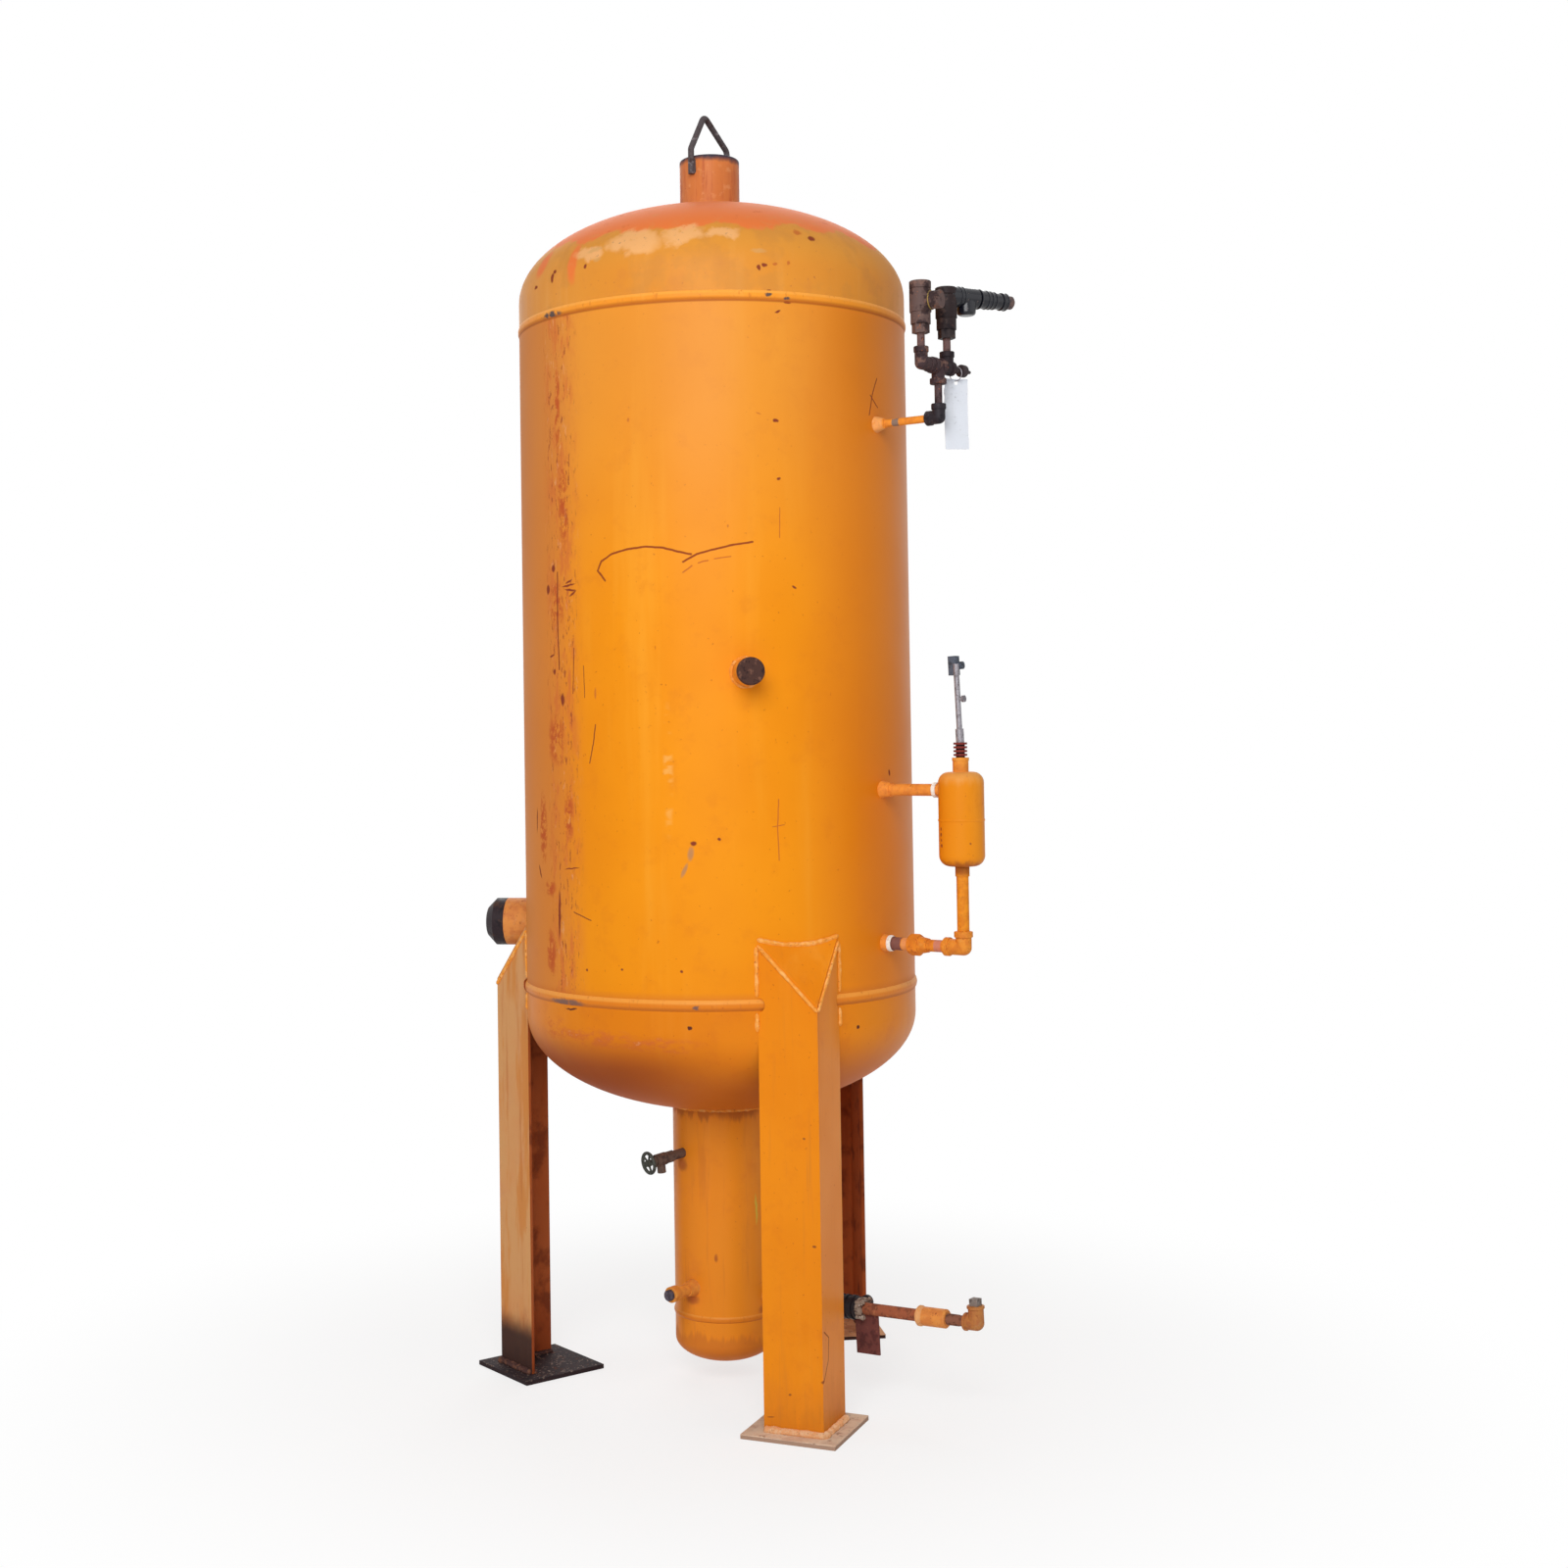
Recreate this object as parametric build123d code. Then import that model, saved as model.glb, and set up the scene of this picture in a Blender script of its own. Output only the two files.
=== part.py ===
"""Oil scrubber tank: a closed upright vessel on three angle-iron legs, with its fittings.

The origin is on the vessel's axis at the ground, +Z is up and the front leg stands on the -Y side.
Sizes are in millimetres. Angles are degrees counter-clockwise from +X, seen from above.
"""

import math
import os

from build123d import *

# The vessel: a rolled shell between two elliptical heads
shell_od = 914.4
shell_wall = 8.0
shell_length = 1538.0
shell_bottom_z = 919.0
head_depth = 224.0
head_flange = 66.0
top_weld_width = 20.0
top_weld_height = 3.0
bottom_weld_width = 25.0
bottom_weld_height = 4.5

# The lifting neck on the top head and the bent bar across it
neck_od = 142.0
neck_bore = 114.0
neck_rise = 123.0
neck_edge_radius = 6.0
neck_plug_recess = 6.0
neck_plug_thickness = 24.0
loop_bar_diameter = 14.5
loop_angle = 35.0
loop_foot_drop = 46.0
loop_apex_offset = -20.0
loop_apex_rise = 104.0
loop_front_rise = 14.0
loop_rear_rise = 40.0
loop_bend_radius = 14.0

# The three legs: angle iron with its heel outwards, a sloped lid and a square base plate
leg_angles = {"front": -90.0, "right": 30.0, "left": 150.0}
leg_width = 136.0
leg_thickness = 9.5
leg_root_radius = 11.0
leg_toe_radius = 5.0
leg_notch_radius = 16.0
leg_lid_heel_rise = 5.0
leg_lid_slope = 55.0
leg_lid_thickness = 8.0
base_plate_size = 215.0
base_plate_thickness = 10.0

# The boot: a short pipe and its cap below the bottom head
boot_od = 237.0
boot_wall = 8.0
boot_weld_z = 153.0
boot_cap_depth = 54.8
boot_cap_flange = 62.0
boot_weld_width = 14.0
boot_weld_height = 3.0

# The capped nozzle above the left leg
side_nozzle_angle = 148.0
side_nozzle_rise = 140.0
side_nozzle_od = 112.0
side_nozzle_bore = 96.0
side_nozzle_reach = 60.0
side_cap_length = 47.0
side_cap_chamfer = 20.0

# The plugged stub on the front
front_nozzle_angle = -104.2
front_nozzle_rise = 718.0
front_nozzle_od = 60.3
front_nozzle_bore = 49.0
front_nozzle_reach = 70.0
front_plug_length = 12.0

# Threaded pipework: one plane of fittings stands out to the right of the front leg
arm_angle = -58.5
small_pipe_od = 17.1
pipe_od = 26.7
fitting_band_radius = 16.5
fitting_body_radius = 14.5
fitting_band_length = 13.0
fitting_band_edge = 1.2
fitting_reach = 30.0
collar_radius = 20.5
collar_length = 24.0
collar_lip = 2.5
collar_sink = 6.0

# The relief arm and the two relief valves on their manifold
relief_drop = 262.0
relief_reach = 162.0
manifold_height = 113.0
manifold_turn = 85.0
manifold_tee_drop = 40.0
manifold_band_radius = 18.5
manifold_rise = 36.0
manifold_elbow_offset = 62.0
manifold_split = 17.0
manifold_up_offset = 35.0
manifold_end_offset = 52.0
relief_nipple_length = 29.0
relief_hex_length = 20.0
relief_hex_flats = 34.0
relief_body_length = 94.0
relief_body_radius = 24.0
relief_skirt_length = 26.0
relief_skirt_radius = 22.0
relief_crown_length = 17.0
relief_crown_edge = 1.5
relief_groove_depth = 1.2
relief_boss_radius = 20.0
relief_boss_length = 26.0
relief_boss_turn = 7.0
bonnet_turn = 67.0
bonnet_drop = 18.0
bonnet_bulb_radius = 22.5
bonnet_bulb_length = 86.0
bonnet_bulb_edge = 4.0
bonnet_neck_radius = 21.0
bonnet_waist_radius = 17.5
bonnet_neck_length = 64.0
bonnet_rim_radius = 19.0
bonnet_rim_length = 15.0
bonnet_cap_radius = 15.0
bonnet_cap_length = 20.0
bonnet_cap_edge = 4.0
bonnet_cup_radius = 21.0
bonnet_cup_x = 56.0
bonnet_cup_drop = 40.0
bonnet_cup_fillet = 8.0
bleed_nipple_end = 84.0
bleed_nipple_radius = 5.5
bleed_body_radius = 14.0
bleed_body_end = 102.0
bleed_edge = 3.0
bleed_stub_radius = 3.5
bleed_stub_end = 122.0
tag_width = 54.0
tag_height = 157.0
tag_thickness = 1.5
tag_hole_radius = 5.0
tag_hole_margin = 3.0
tag_wire_radius = 1.0
tag_ring_radius = 16.0
hanging_gap = 0.3

# The level chamber, its gland and rod above, and the pipes back to the shell
lower_tap_rise = 112.0
level_reach = 202.0
chamber_rise = 177.0
chamber_height = 206.0
chamber_radius = 50.0
chamber_shoulder = 24.0
chamber_seam_width = 6.0
chamber_seam_height = 1.2
chamber_seam_share = 0.49
upper_tap_drop = 40.0
chamber_nipple_length = 15.0
chamber_ring_radius = 16.0
chamber_ring_length = 5.0
gland_neck_radius = 18.5
gland_neck_length = 31.0
gland_neck_lip = 7.0
gland_neck_groove = 1.2
gland_disc_radius = 15.0
gland_disc_count = 4
gland_disc_pitch = 8.25
gland_disc_thickness = 4.6
gland_core_radius = 10.0
sleeve_radius = 9.0
sleeve_length = 30.0
rod_radius = 6.2
rod_length = 142.0
rod_lean = 2.5
clamp_side = 20.0
clamp_height = 42.0
clamp_edge = 2.0
clamp_rise = 18.0
clamp_set_back = 10.0
clamp_knob_radius = 8.5
clamp_knob_length = 9.0
thumb_screw_drop = 77.0
thumb_screw_radius = 4.0
thumb_screw_length = 5.0
thumb_knob_radius = 7.5
thumb_knob_length = 6.0
under_coupling_radius = 15.5
under_coupling_length = 22.0
union_reach = 68.0
union_nut_length = 26.0
union_nut_flats = 42.0
union_nut_edge = 2.5
union_hub_length = 20.0
union_hub_radius = 19.0
union_tail_radius = 15.5
lower_elbow_reach = 46.0
lower_elbow_rise = 35.0
lower_elbow_band_radius = 20.5
lower_elbow_body_radius = 17.5

# The gauge valve on the boot, tilted downwards, with its handwheel
gauge_angle = -165.0
gauge_drop = 99.0
gauge_tilt = 6.8
gauge_nipple_radius = 11.0
gauge_nipple_length = 30.0
gauge_hex_flats = 24.0
gauge_hex_length = 22.0
gauge_body_radius = 14.5
gauge_body_length = 26.0
gauge_outlet_radius = 10.0
gauge_outlet_length = 30.0
gauge_packing_radius = 9.0
gauge_packing_length = 8.0
gauge_stem_radius = 4.0
gauge_stem_clearance = 0.3
gauge_stem_depth = 14.0
gauge_wheel_gap = 8.0
gauge_wheel_radius = 27.0
gauge_rim_radius = 4.0
gauge_hub_radius = 8.0
gauge_hub_length = 9.0
gauge_spoke_radius = 2.6
gauge_spoke_count = 5

# The plugged stub low on the boot
boot_stub_angle = -151.0
boot_stub_rise = 70.0
boot_stub_length = 60.0
boot_stub_coupling_radius = 18.0
boot_stub_coupling_length = 22.0
boot_stub_plug_radius = 12.5
boot_stub_plug_length = 8.0

# The drain line out of the boot
drain_rise = 43.0
drain_tilt = 2.5
drain_tap_length = 205.0
drain_body_radius = 24.5
drain_body_length = 52.0
drain_rib_count = 3
drain_rib_length = 7.0
drain_rib_height = 2.5
drain_flange_radius = 23.0
drain_flange_length = 14.0
drain_bolt_radius = 4.0
drain_bolt_count = 4
drain_stem_radius = 7.0
drain_stem_offset = 16.0
drain_stem_length = 26.0
drain_cap_radius = 15.0
drain_cap_length = 10.0
drain_plate_width = 60.0
drain_plate_drop = 100.0
drain_plate_thickness = 5.0
drain_plate_offset = 4.0
drain_pipe_length = 140.0
drain_coupling_length = 74.0
drain_coupling_radius = 20.5
drain_coupling_edge = 3.5
drain_collar_length = 12.0
drain_collar_radius = 22.5
drain_nipple_length = 44.0
drain_nipple_radius = 11.5
drain_elbow_reach = 28.0
drain_elbow_rise = 37.0
drain_elbow_band_radius = 19.5
drain_elbow_body_radius = 17.0
drain_plug_size = 20.0
drain_plug_height = 15.0

# Values worked out from the sizes above
shell_radius = shell_od / 2
shell_top_z = shell_bottom_z + shell_length
top_flange_z = shell_top_z + head_flange
bottom_flange_z = shell_bottom_z - head_flange
neck_top_z = top_flange_z + head_depth + neck_rise
side_nozzle_z = shell_bottom_z + side_nozzle_rise
front_nozzle_z = shell_bottom_z + front_nozzle_rise
leg_diagonal = leg_width / math.sqrt(2)
heel_rho = leg_diagonal + math.sqrt(shell_radius**2 - leg_diagonal**2)
plate_rho = heel_rho - leg_diagonal
leg_lid_heel_z = shell_bottom_z + leg_lid_heel_rise
boot_radius = boot_od / 2
relief_z = shell_top_z - relief_drop
relief_riser_rho = shell_radius + relief_reach
manifold_z = relief_z + manifold_height
chamber_rho = shell_radius + level_reach
lower_tap_z = shell_bottom_z + lower_tap_rise
chamber_bottom_z = lower_tap_z + chamber_rise
chamber_top_z = chamber_bottom_z + chamber_height
upper_tap_z = chamber_top_z - upper_tap_drop
gauge_z = bottom_flange_z - head_depth - gauge_drop
boot_stub_z = boot_weld_z + boot_stub_rise
drain_z = boot_weld_z + drain_rise


def round_bar(radius, start, end):
    """A solid cylinder from one point to another."""
    axis = Vector(*end) - Vector(*start)
    return Solid.make_cylinder(radius, axis.length, Plane(origin=start, z_dir=axis))


def tube(outer_radius, inner_radius, start, end):
    """A pipe with its bore from one point to another."""
    return round_bar(outer_radius, start, end) - round_bar(inner_radius, start, end)


def hexagon(flats, start, end):
    """A hexagonal bar from one point to another, given across its flats."""
    axis = Vector(*end) - Vector(*start)
    outline = RegularPolygon(flats / 2, 6, major_radius=False)
    return extrude(Plane(origin=start, z_dir=axis) * outline, axis.length)


def cone(start_radius, end_radius, start, end):
    """A tapered round piece from one point to another."""
    axis = Vector(*end) - Vector(*start)
    plane = Plane(origin=start, z_dir=axis)
    return Solid.make_cone(start_radius, end_radius, axis.length, plane)


def torus(ring_radius, bar_radius, centre, axis):
    """A round ring about an axis."""
    return Solid.make_torus(ring_radius, bar_radius, Plane(origin=centre, z_dir=axis))


def eased(piece, edge):
    """A round piece with the edges of both its ends broken."""
    return chamfer(piece.edges().filter_by(GeomType.CIRCLE), edge)


def band(corner, direction, reach, length, radius):
    """The thick band round one mouth of a threaded fitting."""
    mouth = Vector(*corner) + Vector(*direction) * reach
    return eased(round_bar(radius, mouth - Vector(*direction) * length, mouth), fitting_band_edge)


def elbow(corner, first, second, first_reach, second_reach, band_radius, body_radius, band_length):
    """A short threaded elbow: two arms that meet in a round corner, with a band round each mouth."""
    corner = Vector(*corner)
    body = Pos(corner) * Sphere(body_radius)
    for direction, reach in ((Vector(*first), first_reach), (Vector(*second), second_reach)):
        body += round_bar(body_radius, corner, corner + direction * (reach - band_length / 2))
        body += band(corner, direction, reach, band_length, band_radius)
    return body


def tee(centre, run, branch, run_reaches, branch_reach, band_radius, body_radius, band_length):
    """A threaded tee: a straight run with a side branch and a band round each mouth."""
    centre = Vector(*centre)
    run = Vector(*run)
    branch = Vector(*branch)
    back, front = run_reaches
    short = band_length / 2
    body = round_bar(body_radius, centre - run * (back - short), centre + run * (front - short))
    body += round_bar(body_radius, centre, centre + branch * (branch_reach - short))
    for direction, reach in ((-run, back), (run, front), (branch, branch_reach)):
        body += band(centre, direction, reach, min(band_length, reach), band_radius)
    return body


def around(angle, piece):
    """Turn a piece that was drawn pointing along +X to its place round the vessel."""
    return Rot(0, 0, angle) * piece


def radial_bar(angle, z, radius, end):
    """A bar from the vessel's axis outwards, at an angle and a height."""
    return around(angle, round_bar(radius, (0, 0, z), (end, 0, z)))


def vessel_form():
    """The outside of the shell and both heads as one solid, to cope the fittings against."""
    with_flanges = round_bar(shell_radius, (0, 0, bottom_flange_z), (0, 0, top_flange_z))
    return with_flanges + head_form(0.0, 1) + head_form(0.0, -1)


def dome(radius, depth):
    """A solid half ellipsoid with its crown up."""
    outline = EllipticalCenterArc((0, 0), radius, depth, start_angle=0, arc_size=90)
    edges = outline + Line((0, depth), (0, 0)) + Line((0, 0), (radius, 0))
    return revolve(Plane.XZ * make_face(edges), Axis.Z)


def head_form(inset, side):
    """A solid half ellipsoid of a head, inset by a wall thickness."""
    form = dome(shell_radius - inset, head_depth - inset)
    if side < 0:
        return Pos(0, 0, bottom_flange_z) * Rot(180, 0, 0) * form
    return Pos(0, 0, top_flange_z) * form


def head(side):
    """One dished head: the half ellipsoid and its straight flange, with their wall."""
    flange_z = top_flange_z if side > 0 else bottom_flange_z
    seam_z = shell_top_z if side > 0 else shell_bottom_z
    inner_radius = shell_radius - shell_wall
    outer = head_form(0.0, side) + round_bar(shell_radius, (0, 0, flange_z), (0, 0, seam_z))
    inner = head_form(shell_wall, side) + round_bar(inner_radius, (0, 0, flange_z), (0, 0, seam_z))
    return outer - inner


def bead(radius, z, width, height):
    """The crowned weld bead round an upright pipe or shell."""
    crown = ThreePointArc((radius, -width / 2), (radius + height, 0), (radius, width / 2))
    profile = make_face(crown + Line(crown @ 1, crown @ 0))
    return Pos(0, 0, z) * revolve(Plane.XZ * profile, Axis.Z)


def tapping(surface_radius, bore_radius, z, end):
    """A pipe out of a wall, with its flared weld collar, drawn along +X and not yet coped."""
    start = (surface_radius - collar_sink, 0, z)
    collar_end = (surface_radius + collar_length, 0, z)
    collar = cone(collar_radius, bore_radius + collar_lip, start, collar_end)
    return collar + round_bar(bore_radius, start, (end, 0, z))


def lifting_loop():
    """The bent bar: up one side of the neck, to a crooked apex and down the other side."""
    foot = neck_od / 2 + loop_bar_diameter / 2
    points = [
        (-foot, neck_top_z - loop_foot_drop),
        (-foot, neck_top_z + loop_front_rise),
        (loop_apex_offset, neck_top_z + loop_apex_rise),
        (foot, neck_top_z + loop_rear_rise),
        (foot, neck_top_z - loop_foot_drop),
    ]
    path = Plane.XZ * FilletPolyline(*points, radius=loop_bend_radius)
    section = Plane(origin=path @ 0, z_dir=path % 0) * Circle(loop_bar_diameter / 2)
    return around(loop_angle, sweep(section, path=path))


def leg_place(piece):
    """Put a piece drawn with its corner at the origin on the heel line of a leg."""
    return Pos(heel_rho, 0, 0) * Rot(0, 0, 135) * piece


def lid_plane():
    """The underside of a leg's sloped lid, facing outwards and up."""
    slope = math.radians(leg_lid_slope)
    normal = (math.sin(slope), 0, math.cos(slope))
    top = Vector(heel_rho, 0, leg_lid_heel_z)
    return Plane(origin=top - Vector(*normal) * leg_lid_thickness, x_dir=(0, 1, 0), z_dir=normal)


def leg(vessel, weld):
    """One angle-iron leg, coped to the vessel and notched round the girth weld."""
    low = (Align.MIN, Align.MIN)
    outline = Rectangle(leg_width, leg_width, align=low)
    outline -= Pos(leg_thickness, leg_thickness) * Rectangle(leg_width, leg_width, align=low)
    root = outline.vertices().sort_by_distance((leg_thickness, leg_thickness))[0]
    outline = fillet(root, leg_root_radius)
    for toe in ((leg_width, leg_thickness), (leg_thickness, leg_width)):
        outline = fillet(outline.vertices().sort_by_distance(toe)[0], leg_toe_radius)
    tall = leg_lid_heel_z + 2 * leg_width
    bar = Pos(0, 0, base_plate_thickness) * extrude(outline, tall - base_plate_thickness)
    reach = 2 * leg_width
    seam = Pos(0, 0, shell_bottom_z)
    notches = seam * round_bar(leg_notch_radius, (leg_width, -reach, 0), (leg_width, reach, 0))
    notches += seam * round_bar(leg_notch_radius, (-reach, leg_width, 0), (reach, leg_width, 0))
    size = 8 * leg_width
    above = lid_plane() * Box(size, size, size, align=(Align.CENTER, Align.CENTER, Align.MIN))
    return leg_place(bar - notches) - above - vessel - weld


def leg_lid(vessel):
    """The sloped plate that closes the top of a leg against the shell."""
    low = (Align.MIN, Align.MIN, Align.MIN)
    column = leg_place(Box(leg_width, leg_width, leg_lid_heel_z + 4 * leg_width, align=low))
    size = 8 * leg_width
    slab = lid_plane() * Box(size, size, leg_lid_thickness, align=(Align.CENTER, Align.CENTER, Align.MIN))
    return (column & slab) - vessel


def base_plate():
    """The square plate under a leg, turned with its flanges."""
    on_ground = (Align.CENTER, Align.CENTER, Align.MIN)
    plate = Box(base_plate_size, base_plate_size, base_plate_thickness, align=on_ground)
    return Pos(plate_rho, 0, 0) * Rot(0, 0, 45) * plate


def boot_cap():
    """The dished cap under the boot."""
    inner = boot_radius - boot_wall
    bowl = Rot(180, 0, 0) * (dome(boot_radius, boot_cap_depth) - dome(inner, boot_cap_depth - boot_wall))
    bowl += tube(boot_radius, inner, (0, 0, 0), (0, 0, boot_cap_flange))
    return Pos(0, 0, boot_weld_z - boot_cap_flange) * bowl


parts = {}
vessel = vessel_form()

# The vessel
neck_void = round_bar(neck_bore / 2, (0, 0, top_flange_z), (0, 0, neck_top_z + neck_od))
boot_void = round_bar(boot_radius - boot_wall, (0, 0, 0), (0, 0, bottom_flange_z))
side_void = radial_bar(side_nozzle_angle, side_nozzle_z, side_nozzle_bore / 2, 2 * shell_radius)
front_void = radial_bar(front_nozzle_angle, front_nozzle_z, front_nozzle_bore / 2, 2 * shell_radius)
barrel = tube(shell_radius, shell_radius - shell_wall, (0, 0, shell_bottom_z), (0, 0, shell_top_z))
parts["shell"] = barrel - side_void - front_void
parts["top_head"] = head(1) - neck_void
parts["bottom_head"] = head(-1) - boot_void
parts["top_girth_weld"] = bead(shell_radius, shell_top_z, top_weld_width, top_weld_height)
bottom_weld = bead(shell_radius, shell_bottom_z, bottom_weld_width, bottom_weld_height)
parts["bottom_girth_weld"] = bottom_weld

# The lifting neck
neck = tube(neck_od / 2, neck_bore / 2, (0, 0, top_flange_z), (0, 0, neck_top_z))
rim = neck.edges().filter_by(GeomType.CIRCLE).group_by(Axis.Z)[-1].sort_by(SortBy.RADIUS)[-1]
neck = fillet(rim, neck_edge_radius)
parts["top_nozzle"] = neck - vessel
plug_top_z = neck_top_z - neck_plug_recess
plug_bottom_z = plug_top_z - neck_plug_thickness
parts["top_nozzle_plug"] = round_bar(neck_bore / 2, (0, 0, plug_bottom_z), (0, 0, plug_top_z))
parts["lifting_loop"] = lifting_loop()

# The boot
boot = tube(boot_radius, boot_radius - boot_wall, (0, 0, boot_weld_z), (0, 0, bottom_flange_z))
parts["boot"] = boot - vessel
parts["boot_cap"] = boot_cap()
parts["boot_weld"] = bead(boot_radius, boot_weld_z, boot_weld_width, boot_weld_height)

# The capped side nozzle
side_end = shell_radius + side_nozzle_reach
side_cap_end = side_end + side_cap_length
side_mouth = (side_end, 0, side_nozzle_z)
side_pipe = tube(side_nozzle_od / 2, side_nozzle_bore / 2, (0, 0, side_nozzle_z), side_mouth)
side_cap = round_bar(side_nozzle_od / 2, side_mouth, (side_cap_end, 0, side_nozzle_z))
side_form = radial_bar(side_nozzle_angle, side_nozzle_z, side_nozzle_od / 2, side_cap_end)
side_cap_edge = side_cap.edges().filter_by(GeomType.CIRCLE).sort_by(Axis.X)[-1]
side_cap = chamfer(side_cap_edge, side_cap_chamfer)
parts["side_nozzle"] = around(side_nozzle_angle, side_pipe) - vessel
parts["side_nozzle_cap"] = around(side_nozzle_angle, side_cap)

# The legs, the left one cut away under the side nozzle
for name, angle in leg_angles.items():
    parts[f"{name}_leg"] = around(angle, leg(vessel, bottom_weld)) - side_form
    parts[f"{name}_leg_lid"] = around(angle, leg_lid(vessel)) - side_form
    parts[f"{name}_base_plate"] = around(angle, base_plate())

# The plugged front stub
front_end = shell_radius + front_nozzle_reach
front_mouth = (front_end, 0, front_nozzle_z)
front_plug_end = (front_end + front_plug_length, 0, front_nozzle_z)
front_pipe = tube(front_nozzle_od / 2, front_nozzle_bore / 2, (0, 0, front_nozzle_z), front_mouth)
front_plug_collar = round_bar(front_nozzle_od / 2, front_mouth, front_plug_end)
front_edge = front_plug_collar.edges().filter_by(GeomType.CIRCLE).sort_by(Axis.X)[-1]
parts["front_nozzle"] = around(front_nozzle_angle, front_pipe) - vessel
parts["front_nozzle_plug"] = around(front_nozzle_angle, fillet(front_edge, front_plug_length / 3))

# The relief arm, drawn along +X
small_radius = small_pipe_od / 2
relief_elbow_mouth = relief_riser_rho - fitting_reach
relief_pipe = tapping(shell_radius, small_radius, relief_z, relief_elbow_mouth)
parts["relief_pipe"] = around(arm_angle, relief_pipe) - vessel
parts["relief_elbow"] = around(
    arm_angle,
    elbow(
        (relief_riser_rho, 0, relief_z),
        (-1, 0, 0),
        (0, 0, 1),
        fitting_reach,
        fitting_reach,
        fitting_band_radius,
        fitting_body_radius,
        fitting_band_length,
    ),
)
riser_start = (relief_riser_rho, 0, relief_z + fitting_reach)
riser_end = (relief_riser_rho, 0, manifold_z - manifold_tee_drop)
parts["relief_riser"] = around(arm_angle, round_bar(small_radius, riser_start, riser_end))


def on_manifold(piece):
    """Put a piece drawn along +X from the lower tee's centre on the relief manifold."""
    return around(arm_angle, Pos(relief_riser_rho, 0, manifold_z) * Rot(0, 0, manifold_turn) * piece)


lower_tee_back = manifold_elbow_offset - manifold_rise
parts["manifold_elbow"] = on_manifold(
    elbow(
        (-manifold_elbow_offset, 0, 0),
        (1, 0, 0),
        (0, 0, 1),
        manifold_rise,
        manifold_rise,
        fitting_band_radius,
        fitting_body_radius,
        fitting_band_length,
    )
)
parts["manifold_lower_tee"] = on_manifold(
    tee(
        (0, 0, 0),
        (1, 0, 0),
        (0, 0, -1),
        (lower_tee_back, manifold_split),
        manifold_tee_drop,
        manifold_band_radius,
        fitting_body_radius,
        fitting_band_length,
    )
)
parts["manifold_upper_tee"] = on_manifold(
    tee(
        (manifold_up_offset, 0, 0),
        (1, 0, 0),
        (0, 0, 1),
        (manifold_up_offset - manifold_split, manifold_end_offset - manifold_up_offset),
        manifold_rise,
        fitting_band_radius,
        fitting_body_radius,
        fitting_band_length,
    )
)


def relief_valve(x):
    """An upright relief valve on its nipple, at a distance along the manifold."""
    nipple_top = manifold_rise + relief_nipple_length
    hex_top = nipple_top + relief_hex_length
    skirt_top = hex_top + relief_skirt_length
    body_top = hex_top + relief_body_length
    nipple = round_bar(small_radius, (x, 0, manifold_rise), (x, 0, nipple_top))
    crown_bottom = body_top - relief_crown_length
    groove_bottom = crown_bottom - relief_groove_depth
    body = hexagon(relief_hex_flats, (x, 0, nipple_top), (x, 0, hex_top))
    body += round_bar(relief_skirt_radius, (x, 0, hex_top), (x, 0, crown_bottom))
    body += round_bar(relief_body_radius, (x, 0, skirt_top), (x, 0, groove_bottom))
    body += eased(round_bar(relief_body_radius, (x, 0, crown_bottom), (x, 0, body_top)), relief_crown_edge)
    return nipple, body, body_top


left_nipple, left_body, body_top = relief_valve(-manifold_elbow_offset)
right_nipple, right_body, body_top = relief_valve(manifold_up_offset)
boss_z = body_top - relief_body_radius - relief_boss_radius
boss_end = relief_body_radius + relief_boss_length
boss_place = Pos(-manifold_elbow_offset, 0, boss_z) * Rot(0, 0, relief_boss_turn - manifold_turn)
left_boss = boss_place * round_bar(relief_boss_radius, (0, 0, 0), (boss_end, 0, 0))
parts["relief_nipples"] = on_manifold(Compound([left_nipple, right_nipple]))
parts["left_relief_valve"] = on_manifold(left_body + left_boss)
bonnet_z = body_top - bonnet_drop
bonnet_neck_end = bonnet_bulb_length + bonnet_neck_length
bonnet_rim_end = bonnet_neck_end + bonnet_rim_length
bonnet_end = bonnet_rim_end + bonnet_cap_length
bonnet = eased(round_bar(bonnet_bulb_radius, (0, 0, 0), (bonnet_bulb_length, 0, 0)), bonnet_bulb_edge)
bonnet += cone(bonnet_neck_radius, bonnet_waist_radius, (bonnet_bulb_length, 0, 0), (bonnet_neck_end, 0, 0))
bonnet += round_bar(bonnet_rim_radius, (bonnet_neck_end, 0, 0), (bonnet_rim_end, 0, 0))
bonnet += eased(round_bar(bonnet_cap_radius, (bonnet_rim_end, 0, 0), (bonnet_end, 0, 0)), bonnet_cap_edge)
cup = round_bar(bonnet_cup_radius, (bonnet_cup_x, 0, 0), (bonnet_cup_x, 0, -bonnet_cup_drop))
bonnet += fillet(cup.edges().group_by(Axis.Z)[0], bonnet_cup_fillet)
bonnet = Pos(manifold_up_offset, 0, bonnet_z) * Rot(0, 0, bonnet_turn - manifold_turn) * bonnet
parts["right_relief_valve"] = on_manifold(right_body)
parts["relief_bonnet"] = on_manifold(bonnet - right_body)

bleed = round_bar(bleed_nipple_radius, (manifold_end_offset, 0, 0), (bleed_nipple_end, 0, 0))
bleed += eased(round_bar(bleed_body_radius, (bleed_nipple_end, 0, 0), (bleed_body_end, 0, 0)), bleed_edge)
bleed += cone(2 * bleed_stub_radius, bleed_stub_radius, (bleed_body_end, 0, 0), (bleed_stub_end, 0, 0))
parts["bleed_cock"] = on_manifold(bleed)

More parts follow.
